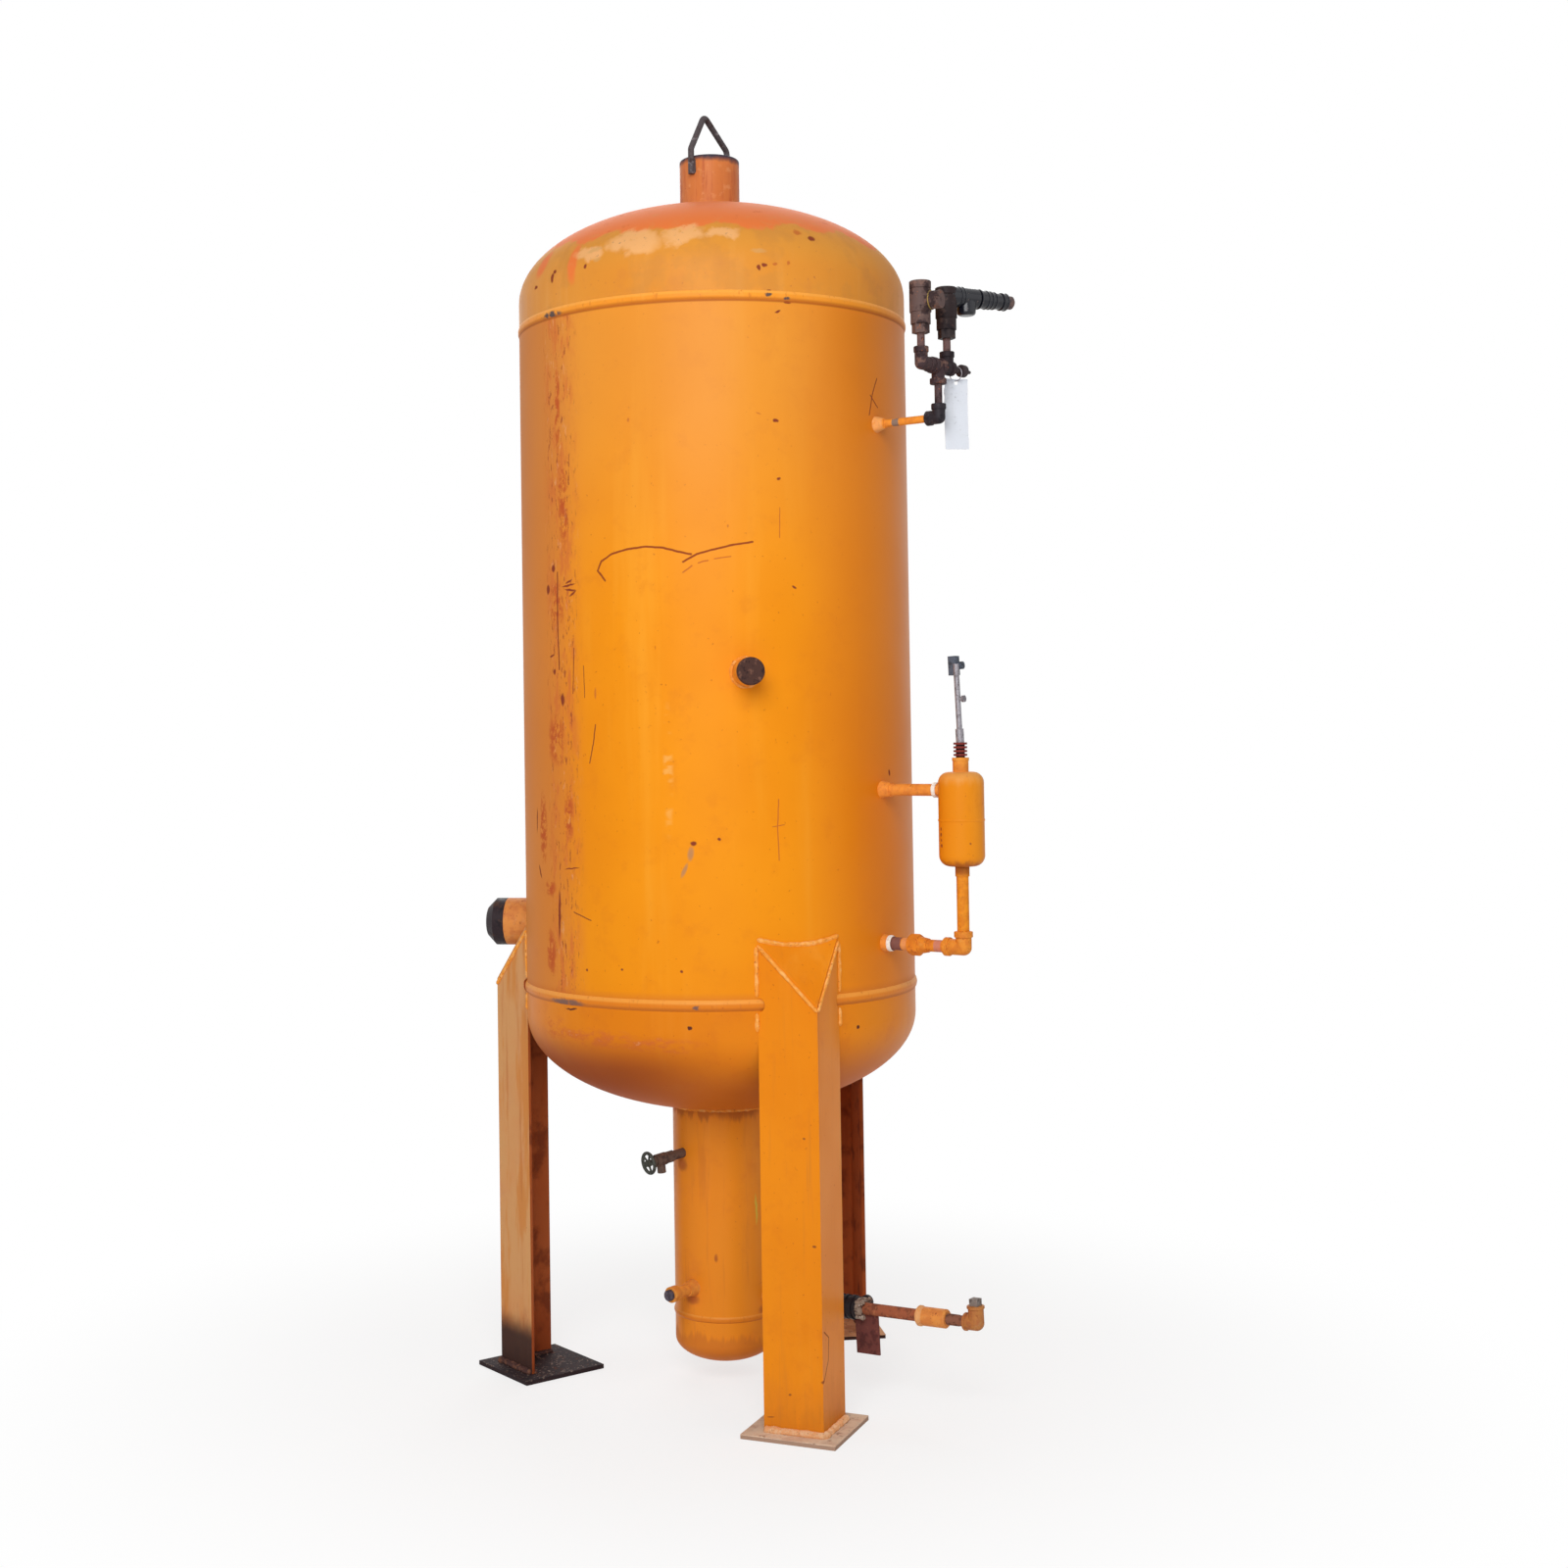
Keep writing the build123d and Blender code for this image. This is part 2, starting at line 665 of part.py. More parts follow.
# The bare tag that hangs under the bleed nipple on a wire ring
tag_x = (manifold_end_offset + bleed_nipple_end) / 2
ring_z = bleed_nipple_radius + hanging_gap - tag_ring_radius + tag_wire_radius
ring_bottom = ring_z - tag_ring_radius
hole_z = ring_bottom + tag_wire_radius + hanging_gap - tag_hole_radius
tag_top = hole_z + tag_hole_radius + tag_hole_margin
tag = Pos(tag_x, 0, tag_top - tag_height / 2) * Box(tag_width, tag_thickness, tag_height)
tag -= round_bar(tag_hole_radius, (tag_x, -tag_thickness, hole_z), (tag_x, tag_thickness, hole_z))
tag = Compound([tag.solid(), torus(tag_ring_radius, tag_wire_radius, (tag_x, 0, ring_z), (1, 0, 0))])
parts["relief_tag"] = on_manifold(tag)

# The level chamber, drawn along +X
pipe_radius = pipe_od / 2
chamber = round_bar(chamber_radius, (chamber_rho, 0, chamber_bottom_z), (chamber_rho, 0, chamber_top_z))
chamber = fillet(chamber.edges().filter_by(GeomType.CIRCLE), chamber_shoulder)
seam_z = chamber_bottom_z + chamber_seam_share * chamber_height
seam = bead(chamber_radius, seam_z, chamber_seam_width, chamber_seam_height)
parts["level_chamber"] = around(arm_angle, chamber + Pos(chamber_rho, 0, 0) * seam)

nipple_start = chamber_rho - chamber_radius - chamber_nipple_length
upper_tap = tapping(shell_radius, pipe_radius, upper_tap_z, chamber_rho)
upper_tap += round_bar(
    chamber_ring_radius, (nipple_start, 0, upper_tap_z), (nipple_start + chamber_ring_length, 0, upper_tap_z)
)
parts["level_upper_tap"] = around(arm_angle, upper_tap - chamber) - vessel

gland_z = chamber_top_z + gland_neck_length
lip_z = gland_z - gland_neck_lip
neck_radius = gland_neck_radius - gland_neck_groove
gland = round_bar(neck_radius, (chamber_rho, 0, chamber_top_z), (chamber_rho, 0, lip_z))
gland += round_bar(gland_neck_radius, (chamber_rho, 0, lip_z), (chamber_rho, 0, gland_z))
disc_stack_top = gland_z + gland_disc_count * gland_disc_pitch
discs = round_bar(gland_core_radius, (chamber_rho, 0, gland_z), (chamber_rho, 0, disc_stack_top))
for number in range(gland_disc_count):
    disc_top = gland_z + (number + 1) * gland_disc_pitch
    disc_bottom = disc_top - gland_disc_thickness
    discs += round_bar(gland_disc_radius, (chamber_rho, 0, disc_bottom), (chamber_rho, 0, disc_top))
parts["level_gland"] = around(arm_angle, gland + discs)


def on_rod(piece):
    """Put a piece drawn upwards from the origin on the rod, which leans a little towards the shell."""
    return around(arm_angle, Pos(chamber_rho, 0, disc_stack_top) * Rot(0, -rod_lean, 0) * piece)


rod_top = sleeve_length + rod_length
rod_bar = round_bar(rod_radius, (0, 0, 0), (0, 0, rod_top))
rod = round_bar(sleeve_radius, (0, 0, 0), (0, 0, sleeve_length)) + rod_bar
screw_z = rod_top - thumb_screw_drop
screw_end = rod_radius + thumb_screw_length
knob_end = screw_end + thumb_knob_length
rod += round_bar(thumb_screw_radius, (0, 0, screw_z), (screw_end, 0, screw_z))
rod += round_bar(thumb_knob_radius, (screw_end, 0, screw_z), (knob_end, 0, screw_z))
parts["level_rod"] = on_rod(rod) - parts["level_gland"]
clamp_z = rod_top + clamp_rise - clamp_height / 2
clamp_y = clamp_side / 2 - thumb_screw_radius / 2
clamp_x = -clamp_set_back
clamp = Pos(clamp_x, clamp_y, clamp_z) * Box(clamp_side, clamp_side, clamp_height)
clamp = chamfer(clamp.edges().filter_by(Axis.Z), clamp_edge) - rod_bar
clamp_knob_y = rod_radius + clamp_knob_radius + hanging_gap
clamp_face = clamp_x + clamp_side / 2
clamp_knob_end = clamp_face + clamp_knob_length
clamp_knob = round_bar(clamp_knob_radius, (clamp_face, 0, clamp_z), (clamp_knob_end, 0, clamp_z))
clamp += Pos(0, clamp_knob_y, 0) * clamp_knob
parts["level_rod_clamp"] = on_rod(clamp)

under_end_z = chamber_bottom_z - under_coupling_length
lower_elbow_top = lower_tap_z + lower_elbow_rise
riser = round_bar(under_coupling_radius, (chamber_rho, 0, under_end_z), (chamber_rho, 0, chamber_bottom_z))
riser += round_bar(pipe_radius, (chamber_rho, 0, lower_elbow_top), (chamber_rho, 0, under_end_z))
parts["level_riser"] = around(arm_angle, riser)
parts["level_lower_elbow"] = around(
    arm_angle,
    elbow(
        (chamber_rho, 0, lower_tap_z),
        (-1, 0, 0),
        (0, 0, 1),
        lower_elbow_reach,
        lower_elbow_rise,
        lower_elbow_band_radius,
        lower_elbow_body_radius,
        fitting_band_length,
    ),
)
union_start = shell_radius + union_reach
union_nut_end = union_start + union_nut_length
union_end = union_nut_end + union_hub_length
lower_mouth = chamber_rho - lower_elbow_reach
nut_end = (union_nut_end, 0, lower_tap_z)
hub_end = (union_end, 0, lower_tap_z)
nut = hexagon(union_nut_flats, (union_start, 0, lower_tap_z), nut_end)
nut_middle = (union_start + union_nut_end) / 2
nut_corner = union_nut_flats / math.sqrt(3)
nut_form = Pos(nut_middle, 0, lower_tap_z) * Rot(0, 90, 0) * Cylinder(nut_corner, union_nut_length)
union = nut & eased(nut_form, union_nut_edge)
union += cone(union_hub_radius, union_tail_radius, nut_end, hub_end)
union += round_bar(pipe_radius, hub_end, (lower_mouth, 0, lower_tap_z))
lower_tap = tapping(shell_radius, pipe_radius, lower_tap_z, union_start)
parts["level_union"] = around(arm_angle, union)
parts["level_lower_tap"] = around(arm_angle, lower_tap) - vessel


def on_gauge(piece):
    """Put a piece drawn outwards along +X from the boot's wall on the tilted gauge valve."""
    return around(gauge_angle, Pos(boot_radius, 0, gauge_z) * Rot(0, gauge_tilt, 0) * piece)


boot_form = round_bar(boot_radius, (0, 0, boot_weld_z), (0, 0, bottom_flange_z))
nipple_end = gauge_nipple_length
hex_end = nipple_end + gauge_hex_length
body_end = hex_end + gauge_body_length
packing_end = body_end + gauge_packing_length
gauge_body = round_bar(gauge_nipple_radius, (-gauge_nipple_length, 0, 0), (nipple_end, 0, 0))
gauge_body += hexagon(gauge_hex_flats, (nipple_end, 0, 0), (hex_end, 0, 0))
gauge_body += round_bar(gauge_body_radius, (hex_end, 0, 0), (body_end, 0, 0))
outlet_x = (hex_end + body_end) / 2
gauge_body += round_bar(gauge_outlet_radius, (outlet_x, 0, 0), (outlet_x, 0, -gauge_outlet_length))
gauge_body += round_bar(gauge_packing_radius, (body_end, 0, 0), (packing_end, 0, 0))
stem_start = packing_end - gauge_stem_depth
stem_bore = gauge_stem_radius + gauge_stem_clearance
gauge_body -= round_bar(stem_bore, (stem_start, 0, 0), (packing_end, 0, 0))
parts["gauge_valve"] = on_gauge(gauge_body) - boot_form

wheel_start = packing_end + gauge_wheel_gap
wheel_end = wheel_start + gauge_hub_length
wheel_middle = (wheel_start + wheel_end) / 2
ring_radius = gauge_wheel_radius - gauge_rim_radius
wheel = round_bar(gauge_stem_radius, (stem_start + gauge_stem_clearance, 0, 0), (wheel_start, 0, 0))
wheel += round_bar(gauge_hub_radius, (wheel_start, 0, 0), (wheel_end, 0, 0))
wheel += torus(ring_radius, gauge_rim_radius, (wheel_middle, 0, 0), (1, 0, 0))
for number in range(gauge_spoke_count):
    spoke_angle = math.radians(number * 360 / gauge_spoke_count)
    spoke_end = (wheel_middle, ring_radius * math.cos(spoke_angle), ring_radius * math.sin(spoke_angle))
    wheel += round_bar(gauge_spoke_radius, (wheel_middle, 0, 0), spoke_end)
parts["gauge_handwheel"] = on_gauge(wheel)

# The plugged stub low on the boot
stub_end = boot_radius + boot_stub_length
stub_coupling_end = stub_end + boot_stub_coupling_length
stub = tapping(boot_radius, pipe_radius, boot_stub_z, stub_end)
stub_mouth = (stub_coupling_end, 0, boot_stub_z)
stub_plug_end = (stub_coupling_end + boot_stub_plug_length, 0, boot_stub_z)
stub_coupling = round_bar(boot_stub_coupling_radius, (stub_end, 0, boot_stub_z), stub_mouth)
stub += eased(stub_coupling, fitting_band_edge)
parts["boot_stub"] = around(boot_stub_angle, stub) - boot_form
stub_plug = round_bar(boot_stub_plug_radius, stub_mouth, stub_plug_end)
parts["boot_stub_plug"] = around(boot_stub_angle, stub_plug)


def on_drain(piece):
    """Put a piece drawn outwards along +X from the boot's wall on the drain line, which climbs a little."""
    return around(arm_angle, Pos(boot_radius, 0, drain_z) * Rot(0, -drain_tilt, 0) * piece)


drain_tap = tapping(0, pipe_radius, 0, drain_tap_length)
parts["drain_tap"] = on_drain(drain_tap) - boot_form
drain_body_end = drain_tap_length + drain_body_length
drain_flange_end = drain_body_end + drain_flange_length
drain_body = round_bar(drain_body_radius, (drain_tap_length, 0, 0), (drain_body_end, 0, 0))
drain_rib_radius = drain_body_radius + drain_rib_height
rib_pitch = drain_body_length / drain_rib_count
for number in range(drain_rib_count):
    rib_start = drain_tap_length + number * rib_pitch
    rib_end = rib_start + drain_rib_length
    drain_body += round_bar(drain_rib_radius, (rib_start, 0, 0), (rib_end, 0, 0))
stem_x = drain_body_end - drain_stem_offset
stem_reach = drain_body_radius + drain_stem_length
drain_body += round_bar(drain_stem_radius, (stem_x, 0, 0), (stem_x, stem_reach, 0))
cap_reach = stem_reach + drain_cap_length
drain_cap = round_bar(drain_cap_radius, (stem_x, stem_reach, 0), (stem_x, cap_reach, 0))
drain_body += eased(drain_cap, fitting_band_edge)
parts["drain_valve"] = on_drain(drain_body)
drain_flange = round_bar(drain_flange_radius, (drain_body_end, 0, 0), (drain_flange_end, 0, 0))
for number in range(drain_bolt_count):
    bolt_angle = math.radians((number + 0.5) * 360 / drain_bolt_count)
    bolt_y = drain_flange_radius * math.cos(bolt_angle)
    bolt_z = drain_flange_radius * math.sin(bolt_angle)
    bolt_start = (drain_body_end, bolt_y, bolt_z)
    drain_flange += round_bar(drain_bolt_radius, bolt_start, (drain_flange_end, bolt_y, bolt_z))
parts["drain_valve_end"] = on_drain(drain_flange)
drain_coupling_start = drain_flange_end + drain_pipe_length
drain_pipe = round_bar(pipe_radius, (drain_flange_end, 0, 0), (drain_coupling_start, 0, 0))
parts["drain_pipe"] = on_drain(drain_pipe)
plate = Box(drain_plate_width, drain_plate_thickness, drain_plate_drop)
plate = Pos(drain_flange_end + drain_plate_offset, 0, -drain_plate_drop / 2) * plate
parts["drain_plate"] = on_drain(plate - drain_body - drain_flange - drain_pipe)
coupling_end = drain_coupling_start + drain_coupling_length
coupling = round_bar(drain_coupling_radius, (drain_coupling_start, 0, 0), (coupling_end, 0, 0))
collar_end = drain_coupling_start + drain_collar_length
collar = round_bar(drain_collar_radius, (drain_coupling_start, 0, 0), (collar_end, 0, 0))
parts["drain_coupling"] = on_drain(eased(coupling, drain_coupling_edge) + eased(collar, drain_coupling_edge))
drain_nipple_end = coupling_end + drain_nipple_length
drain_nipple = round_bar(drain_nipple_radius, (coupling_end, 0, 0), (drain_nipple_end, 0, 0))
parts["drain_nipple"] = on_drain(drain_nipple)
drain_elbow_x = drain_nipple_end + drain_elbow_reach
parts["drain_elbow"] = on_drain(
    elbow(
        (drain_elbow_x, 0, 0),
        (-1, 0, 0),
        (0, 0, 1),
        drain_elbow_reach,
        drain_elbow_rise,
        drain_elbow_band_radius,
        drain_elbow_body_radius,
        fitting_band_length / 2,
    )
)
plug_side = (Align.CENTER, Align.CENTER, Align.MIN)
plug = Box(drain_plug_size, drain_plug_size, drain_plug_height, align=plug_side)
parts["drain_plug"] = on_drain(Pos(drain_elbow_x, 0, drain_elbow_rise) * plug)

os.makedirs("parts", exist_ok=True)
for name, piece in parts.items():
    export_step(piece, f"parts/{name}.step")
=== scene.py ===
"""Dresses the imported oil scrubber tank: weathered orange paint, rust, welds and small fittings.

Lengths are metres in the model's own frame: the origin on the vessel's axis at the ground, +Z up, the
front leg towards -Y. Angles are degrees counter-clockwise from +X, seen from above.
"""

import math

import bmesh
import bpy
from mathutils import Matrix, Vector, noise


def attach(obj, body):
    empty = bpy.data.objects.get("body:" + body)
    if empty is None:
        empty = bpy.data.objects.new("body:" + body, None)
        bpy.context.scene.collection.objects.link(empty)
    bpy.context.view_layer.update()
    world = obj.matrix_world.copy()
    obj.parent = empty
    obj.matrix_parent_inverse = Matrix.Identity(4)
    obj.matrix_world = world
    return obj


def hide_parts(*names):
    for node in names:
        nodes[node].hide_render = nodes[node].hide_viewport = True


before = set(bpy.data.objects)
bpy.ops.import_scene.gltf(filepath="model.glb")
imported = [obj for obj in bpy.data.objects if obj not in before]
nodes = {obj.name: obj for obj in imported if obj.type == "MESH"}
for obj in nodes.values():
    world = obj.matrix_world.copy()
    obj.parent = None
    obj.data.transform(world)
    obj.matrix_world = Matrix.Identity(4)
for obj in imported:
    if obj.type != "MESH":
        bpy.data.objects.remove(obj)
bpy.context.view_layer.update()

# The camera that took the photograph, and its frame
PHOTO_SIZE = 1600
CAMERA_DISTANCE = 5.021
CAMERA_HEIGHT = 1.5145
CAMERA_AZIMUTH = -22.03
CAMERA_PITCH = 1.323
CAMERA_YAW = -0.441
CAMERA_ROLL = -0.822
FOCAL_PIXELS = 2158.17
PRINCIPAL_POINT = (714.77, 694.53)
SENSOR_WIDTH = 36.0

# How strong each light is, and the middle of the vessel, which the lamps look at
WORLD_LIGHT = 0.27
KEY_POWER = 202
FILL_POWER = 22
SIDE_POWER = 24
BACK_POWER = 110
LAMP_TARGET = Vector((0, 0, 1.4))

# Sizes that the finishes and the added pieces share with the solids
SHELL_RADIUS = 0.4572
SHELL_TOP = 2.457
SHELL_BOTTOM = 0.919
TOP_FLANGE = 2.523
BOTTOM_FLANGE = 0.853
HEAD_DEPTH = 0.224
NECK_RADIUS = 0.071
NECK_TOP = 2.870
LOOP_ANGLE = 35
BOOT_RADIUS = 0.1185
BOOT_WELD = 0.153
LEG_WIDTH = 0.136
LEG_THICKNESS = 0.0095
LEG_ANGLES = {"front": -90, "right": 30, "left": 150}
LEG_DIAGONAL = LEG_WIDTH / math.sqrt(2)
PLATE_RHO = math.sqrt(SHELL_RADIUS**2 - LEG_DIAGONAL**2)
HEEL_RHO = PLATE_RHO + LEG_DIAGONAL
PLATE_TOP = 0.010
LID_HEEL = SHELL_BOTTOM + 0.005
LID_SLOPE = 55
LID_THICKNESS = 0.008
SIDE_NOZZLE_ANGLE = 148
SIDE_NOZZLE_Z = 1.059
SIDE_NOZZLE_RADIUS = 0.056
FRONT_NOZZLE_ANGLE = -104.2
FRONT_NOZZLE_Z = 1.637
FRONT_NOZZLE_RADIUS = 0.03015
ARM_ANGLE = -58.5
RELIEF_RHO = 0.6192
MANIFOLD_Z = 2.308
MANIFOLD_TURN = 85
BOSS_RISE = 0.135
BOSS_TURN = 7
BOSS_END = 0.0262
LEFT_VALVE_X = -0.062
RIGHT_VALVE_X = 0.035
BONNET_RISE = 0.161
BONNET_TURN = -18
CHAMBER_RHO = 0.6592
CHAMBER_BOTTOM = 1.208
CHAMBER_TOP = 1.414
GLAND_TOP = 1.445
LOWER_TAP_Z = 1.031
UPPER_TAP_Z = 1.374
DRAIN_Z = 0.196
DRAIN_TILT = 2.5
DRAIN_FLANGE_X = 0.271
DRAIN_STEM_X = 0.241
DRAIN_STEM_OUT = 0.0245
NIPPLE_START = 0.485
GAUGE_ANGLE = -165
GAUGE_Z = 0.530
GAUGE_TILT = 6.8
GAUGE_BODY_END = 0.0782
GAUGE_HUB_END = 0.1028
PIPE_RADIUS = 0.01335

# The bonnet's own direction, seen from above, and where its cap starts along it
BONNET_ANGLE = 8.5
BONNET_CAP_REACH = 0.4402

# The welds: a ripple's length, and how far a bead's middle stands off what it lies on
RIPPLE = 0.004
WELD_RISE = 0.001

# An edge sharper than this is shaded as an edge
SHARP_ANGLE = math.radians(38)

# The circle of the drain flange's bolts
BOLT_CIRCLE = 0.023

# The pale pin on the right relief valve, a painted highlight where the valve shows a glint: how high it
# stands, how far out, and its turns
PIN_RISE = 0.122
PIN_OUT = 0.0235
PIN_TURN = -45
PIN_LEAN = -35

# The bare tag and the wire ring that it hangs on
TAG_X = 0.068
TAG_TOP = -0.0209
TAG_WIDTH = 0.054
TAG_HEIGHT = 0.157
TAG_HOLE_DROP = 0.008
TAG_HOLE_RADIUS = 0.005
TAG_TURN = -40
TAG_COLUMNS = 18
TAG_ROWS = 52
TAG_THICKNESS = 0.0011
TAG_CRUMPLE = 0.034
WIRE_RADIUS = 0.001
WIRE_RING_RADIUS = 0.016
WIRE_RING_Z = -0.0092

# Heights that finishes are laid from: the primer's ragged edge, the neck's foot and the boot's top
PRIMER_EDGE = 2.664
NECK_BASE = 2.742
BOOT_TOP = 0.637

# Named colours of the finishes, from 0 to 255
DARK_RUST = (92, 44, 34)
SCUFF = (206, 104, 52)
PRIMER = (231, 120, 56)
BARE_STEEL = (92, 76, 70)
PALE_TAN = (232, 192, 142)
TAPE_WHITE = (240, 236, 228)
TAPE_GREY = (128, 116, 108)
MAUVE = (122, 80, 76)
PEACH = (236, 178, 128)

# The tones of old rusty iron, each its colour, its grain, its level in the noise and its share
RUSTY_TONES = [
    ((132, 100, 88), 42.0, 0.52, 0.6),
    ((46, 34, 36), 30.0, 0.52, 0.85),
    ((168, 98, 62), 80.0, 0.60, 0.6),
    ((178, 148, 132), 150.0, 0.66, 0.5),
]


def level_direction(angle):
    """The level direction, of length 1, towards an angle round the vessel's axis."""
    turn = math.radians(angle)
    return Vector((math.cos(turn), math.sin(turn), 0))


def head_height(radius):
    """How far a dished head stands above its flange at a distance from the axis."""
    return HEAD_DEPTH * math.sqrt(1 - (radius / SHELL_RADIUS) ** 2)


def srgb(red, green, blue):
    """A colour as it is seen on a screen, from 0 to 255, as the linear colour that Blender takes."""
    linear = []
    for value in (red, green, blue):
        value /= 255
        linear.append(value / 12.92 if value <= 0.04045 else ((value + 0.055) / 1.055) ** 2.4)
    return (*linear, 1.0)


def make_camera():
    """The camera of the photograph, at its distance, height, tilt and lens."""
    data = bpy.data.cameras.new("photo_camera")
    data.sensor_width = SENSOR_WIDTH
    data.lens = FOCAL_PIXELS * SENSOR_WIDTH / PHOTO_SIZE
    data.shift_x = (PHOTO_SIZE / 2 - PRINCIPAL_POINT[0]) / PHOTO_SIZE
    data.shift_y = (PRINCIPAL_POINT[1] - PHOTO_SIZE / 2) / PHOTO_SIZE
    camera = bpy.data.objects.new("photo_camera", data)
    bpy.context.scene.collection.objects.link(camera)
    around = math.radians(CAMERA_AZIMUTH)
    place = Vector((math.sin(around), -math.cos(around), 0)) * CAMERA_DISTANCE
    place.z = CAMERA_HEIGHT
    heading = Matrix.Rotation(math.radians(CAMERA_AZIMUTH - CAMERA_YAW), 4, "Z")
    tilt = Matrix.Rotation(math.radians(90 + CAMERA_PITCH), 4, "X")
    roll = Matrix.Rotation(math.radians(CAMERA_ROLL), 4, "Z")
    camera.matrix_world = Matrix.Translation(place) @ heading @ tilt @ roll
    bpy.context.scene.camera = camera


def make_lamp(name, azimuth, elevation, distance, size, power):
    """A soft square lamp that looks at the middle of the vessel."""
    data = bpy.data.lights.new(name, "AREA")
    data.size = size
    data.energy = power
    lamp = bpy.data.objects.new(name, data)
    bpy.context.scene.collection.objects.link(lamp)
    turn = math.radians(azimuth)
    rise = math.radians(elevation)
    level = math.cos(rise)
    direction = Vector((math.sin(turn) * level, -math.cos(turn) * level, math.sin(rise)))
    lamp.location = LAMP_TARGET + direction * distance
    lamp.rotation_euler = direction.to_track_quat("Z", "Y").to_euler()


class Finish:
    """A material being made: what is there so far, and the layers laid over it.

    Colour and roughness are each a plain value or the output of the last layer, and the height of the
    surface, in millimetres, adds up from layer to layer.
    """

    def __init__(self, name, colour, roughness=0.5, metallic=0.0, sheen=0.12):
        self.material = bpy.data.materials.new(name)
        self.material.use_nodes = True
        self.tree = self.material.node_tree
        self.shader = self.tree.nodes["Principled BSDF"]
        self.shader.inputs["Metallic"].default_value = metallic
        self.shader.inputs["Specular IOR Level"].default_value = sheen
        self.place = self.tree.nodes.new("ShaderNodeTexCoord").outputs["Object"]
        self.colour = srgb(*colour)
        self.roughness = roughness
        self.height = None

    def add(self, kind, values, **settings):
        """A node with its settings, each input a number, a colour or another node's output."""
        node = self.tree.nodes.new(kind)
        for name, value in settings.items():
            setattr(node, name, value)
        for socket, value in values.items():
            if isinstance(value, bpy.types.NodeSocket):
                self.tree.links.new(value, node.inputs[socket])
            else:
                node.inputs[socket].default_value = value
        return node

    def math(self, operation, first, second=0.0, third=0.0):
        """What an operation makes of one to three numbers."""
        values = {0: first, 1: second, 2: third}
        return self.add("ShaderNodeMath", values, operation=operation).outputs[0]

    def vector_math(self, operation, *vectors):
        """What an operation makes of one or more vectors: another vector, or a number."""
        node = self.add("ShaderNodeVectorMath", dict(enumerate(vectors)), operation=operation)
        return node.outputs["Value" if operation in ("DOT_PRODUCT", "DISTANCE", "LENGTH") else "Vector"]

    def stretched(self, scale):
        """The place, squeezed along each axis, so that a grain on it is drawn out."""
        return self.add("ShaderNodeMapping", {"Vector": self.place, "Scale": scale}).outputs[0]

    def grain(self, scale, detail=3.0, roughness=0.55, place=None):
        """Cloudy noise from 0 to 1, with a grain of 1/scale metres."""
        values = {"Vector": place or self.place, "Scale": scale, "Detail": detail, "Roughness": roughness}
        return self.add("ShaderNodeTexNoise", values).outputs["Fac"]

    def between(self, value, low, high, most=1.0):
        """0 below low, most above high and smooth between them. Low may be above high."""
        values = {"Value": value, "From Min": low, "From Max": high, "To Max": most}
        return self.add("ShaderNodeMapRange", values, interpolation_type="SMOOTHSTEP").outputs["Result"]

    def both(self, first, second):
        """Where both masks are."""
        return self.math("MULTIPLY", first, second)

    def either(self, first, second):
        """Where one mask or the other is."""
        return self.math("MAXIMUM", first, second)

    def lay(self, mask, colour=None, roughness=None, height=0.0):
        """Lay a colour, a roughness or a thickness in millimetres where the mask says."""
        if colour is not None:
            values = {"Factor": mask, 6: self.colour, 7: srgb(*colour)}
            self.colour = self.add("ShaderNodeMix", values, data_type="RGBA").outputs[2]
        if roughness is not None:
            values = {0: mask, 2: self.roughness, 3: roughness}
            self.roughness = self.add("ShaderNodeMix", values, data_type="FLOAT").outputs[0]
        if height:
            below = 0.0 if self.height is None else self.height
            self.height = self.math("MULTIPLY_ADD", mask, height, below)

    def axes(self):
        """The place's X, Y and Z, each by itself."""
        return self.add("ShaderNodeSeparateXYZ", {0: self.place}).outputs

    def along(self, direction, start=0.0):
        """How far out a point lies along a direction, from a start."""
        reach = self.vector_math("DOT_PRODUCT", self.place, direction)
        return self.math("SUBTRACT", reach, start) if start else reach

    def towards(self, angle):
        """How far out a point lies towards an angle round the vessel's axis."""
        return self.along(level_direction(angle))

    def wall(self, radius, ragged=0.006, grain=55.0):
        """The place unrolled round the vessel: metres round from +X, and up, its edges ragged."""
        x, y, z = self.axes()
        round_it = self.math("MULTIPLY", self.math("ARCTAN2", y, x), radius)
        flat = self.add("ShaderNodeCombineXYZ", {0: round_it, 1: z}).outputs[0]
        noises = {0: self.grain(grain), 1: self.grain(grain * 1.2)}
        cloud = self.add("ShaderNodeCombineXYZ", noises).outputs[0]
        return self.vector_math("MULTIPLY_ADD", cloud, (ragged, ragged, 0.0), flat)

    def spots(self, wall, radius, marks, edge=0.5, most=1.0):
        """A mask of oval marks: each its angle, its height, half its width and length in mm, its turn."""
        mask = None
        for angle, z, half_width, half_length, turn in marks:
            centre = (math.radians(angle) * radius, z, 0)
            away = self.vector_math("SUBTRACT", wall, centre)
            lean = math.radians(turn)
            reach = 0.0
            for way, half in (
                ((math.cos(lean), math.sin(lean)), half_width),
                ((-math.sin(lean), math.cos(lean)), half_length),
            ):
                scaled = (way[0] * 1000 / half, way[1] * 1000 / half, 0)
                out = self.vector_math("DOT_PRODUCT", away, scaled)
                reach = self.math("MULTIPLY_ADD", out, out, reach)
            oval = self.between(reach, 1.0, edge**2, most)
            mask = oval if mask is None else self.either(mask, oval)
        return mask

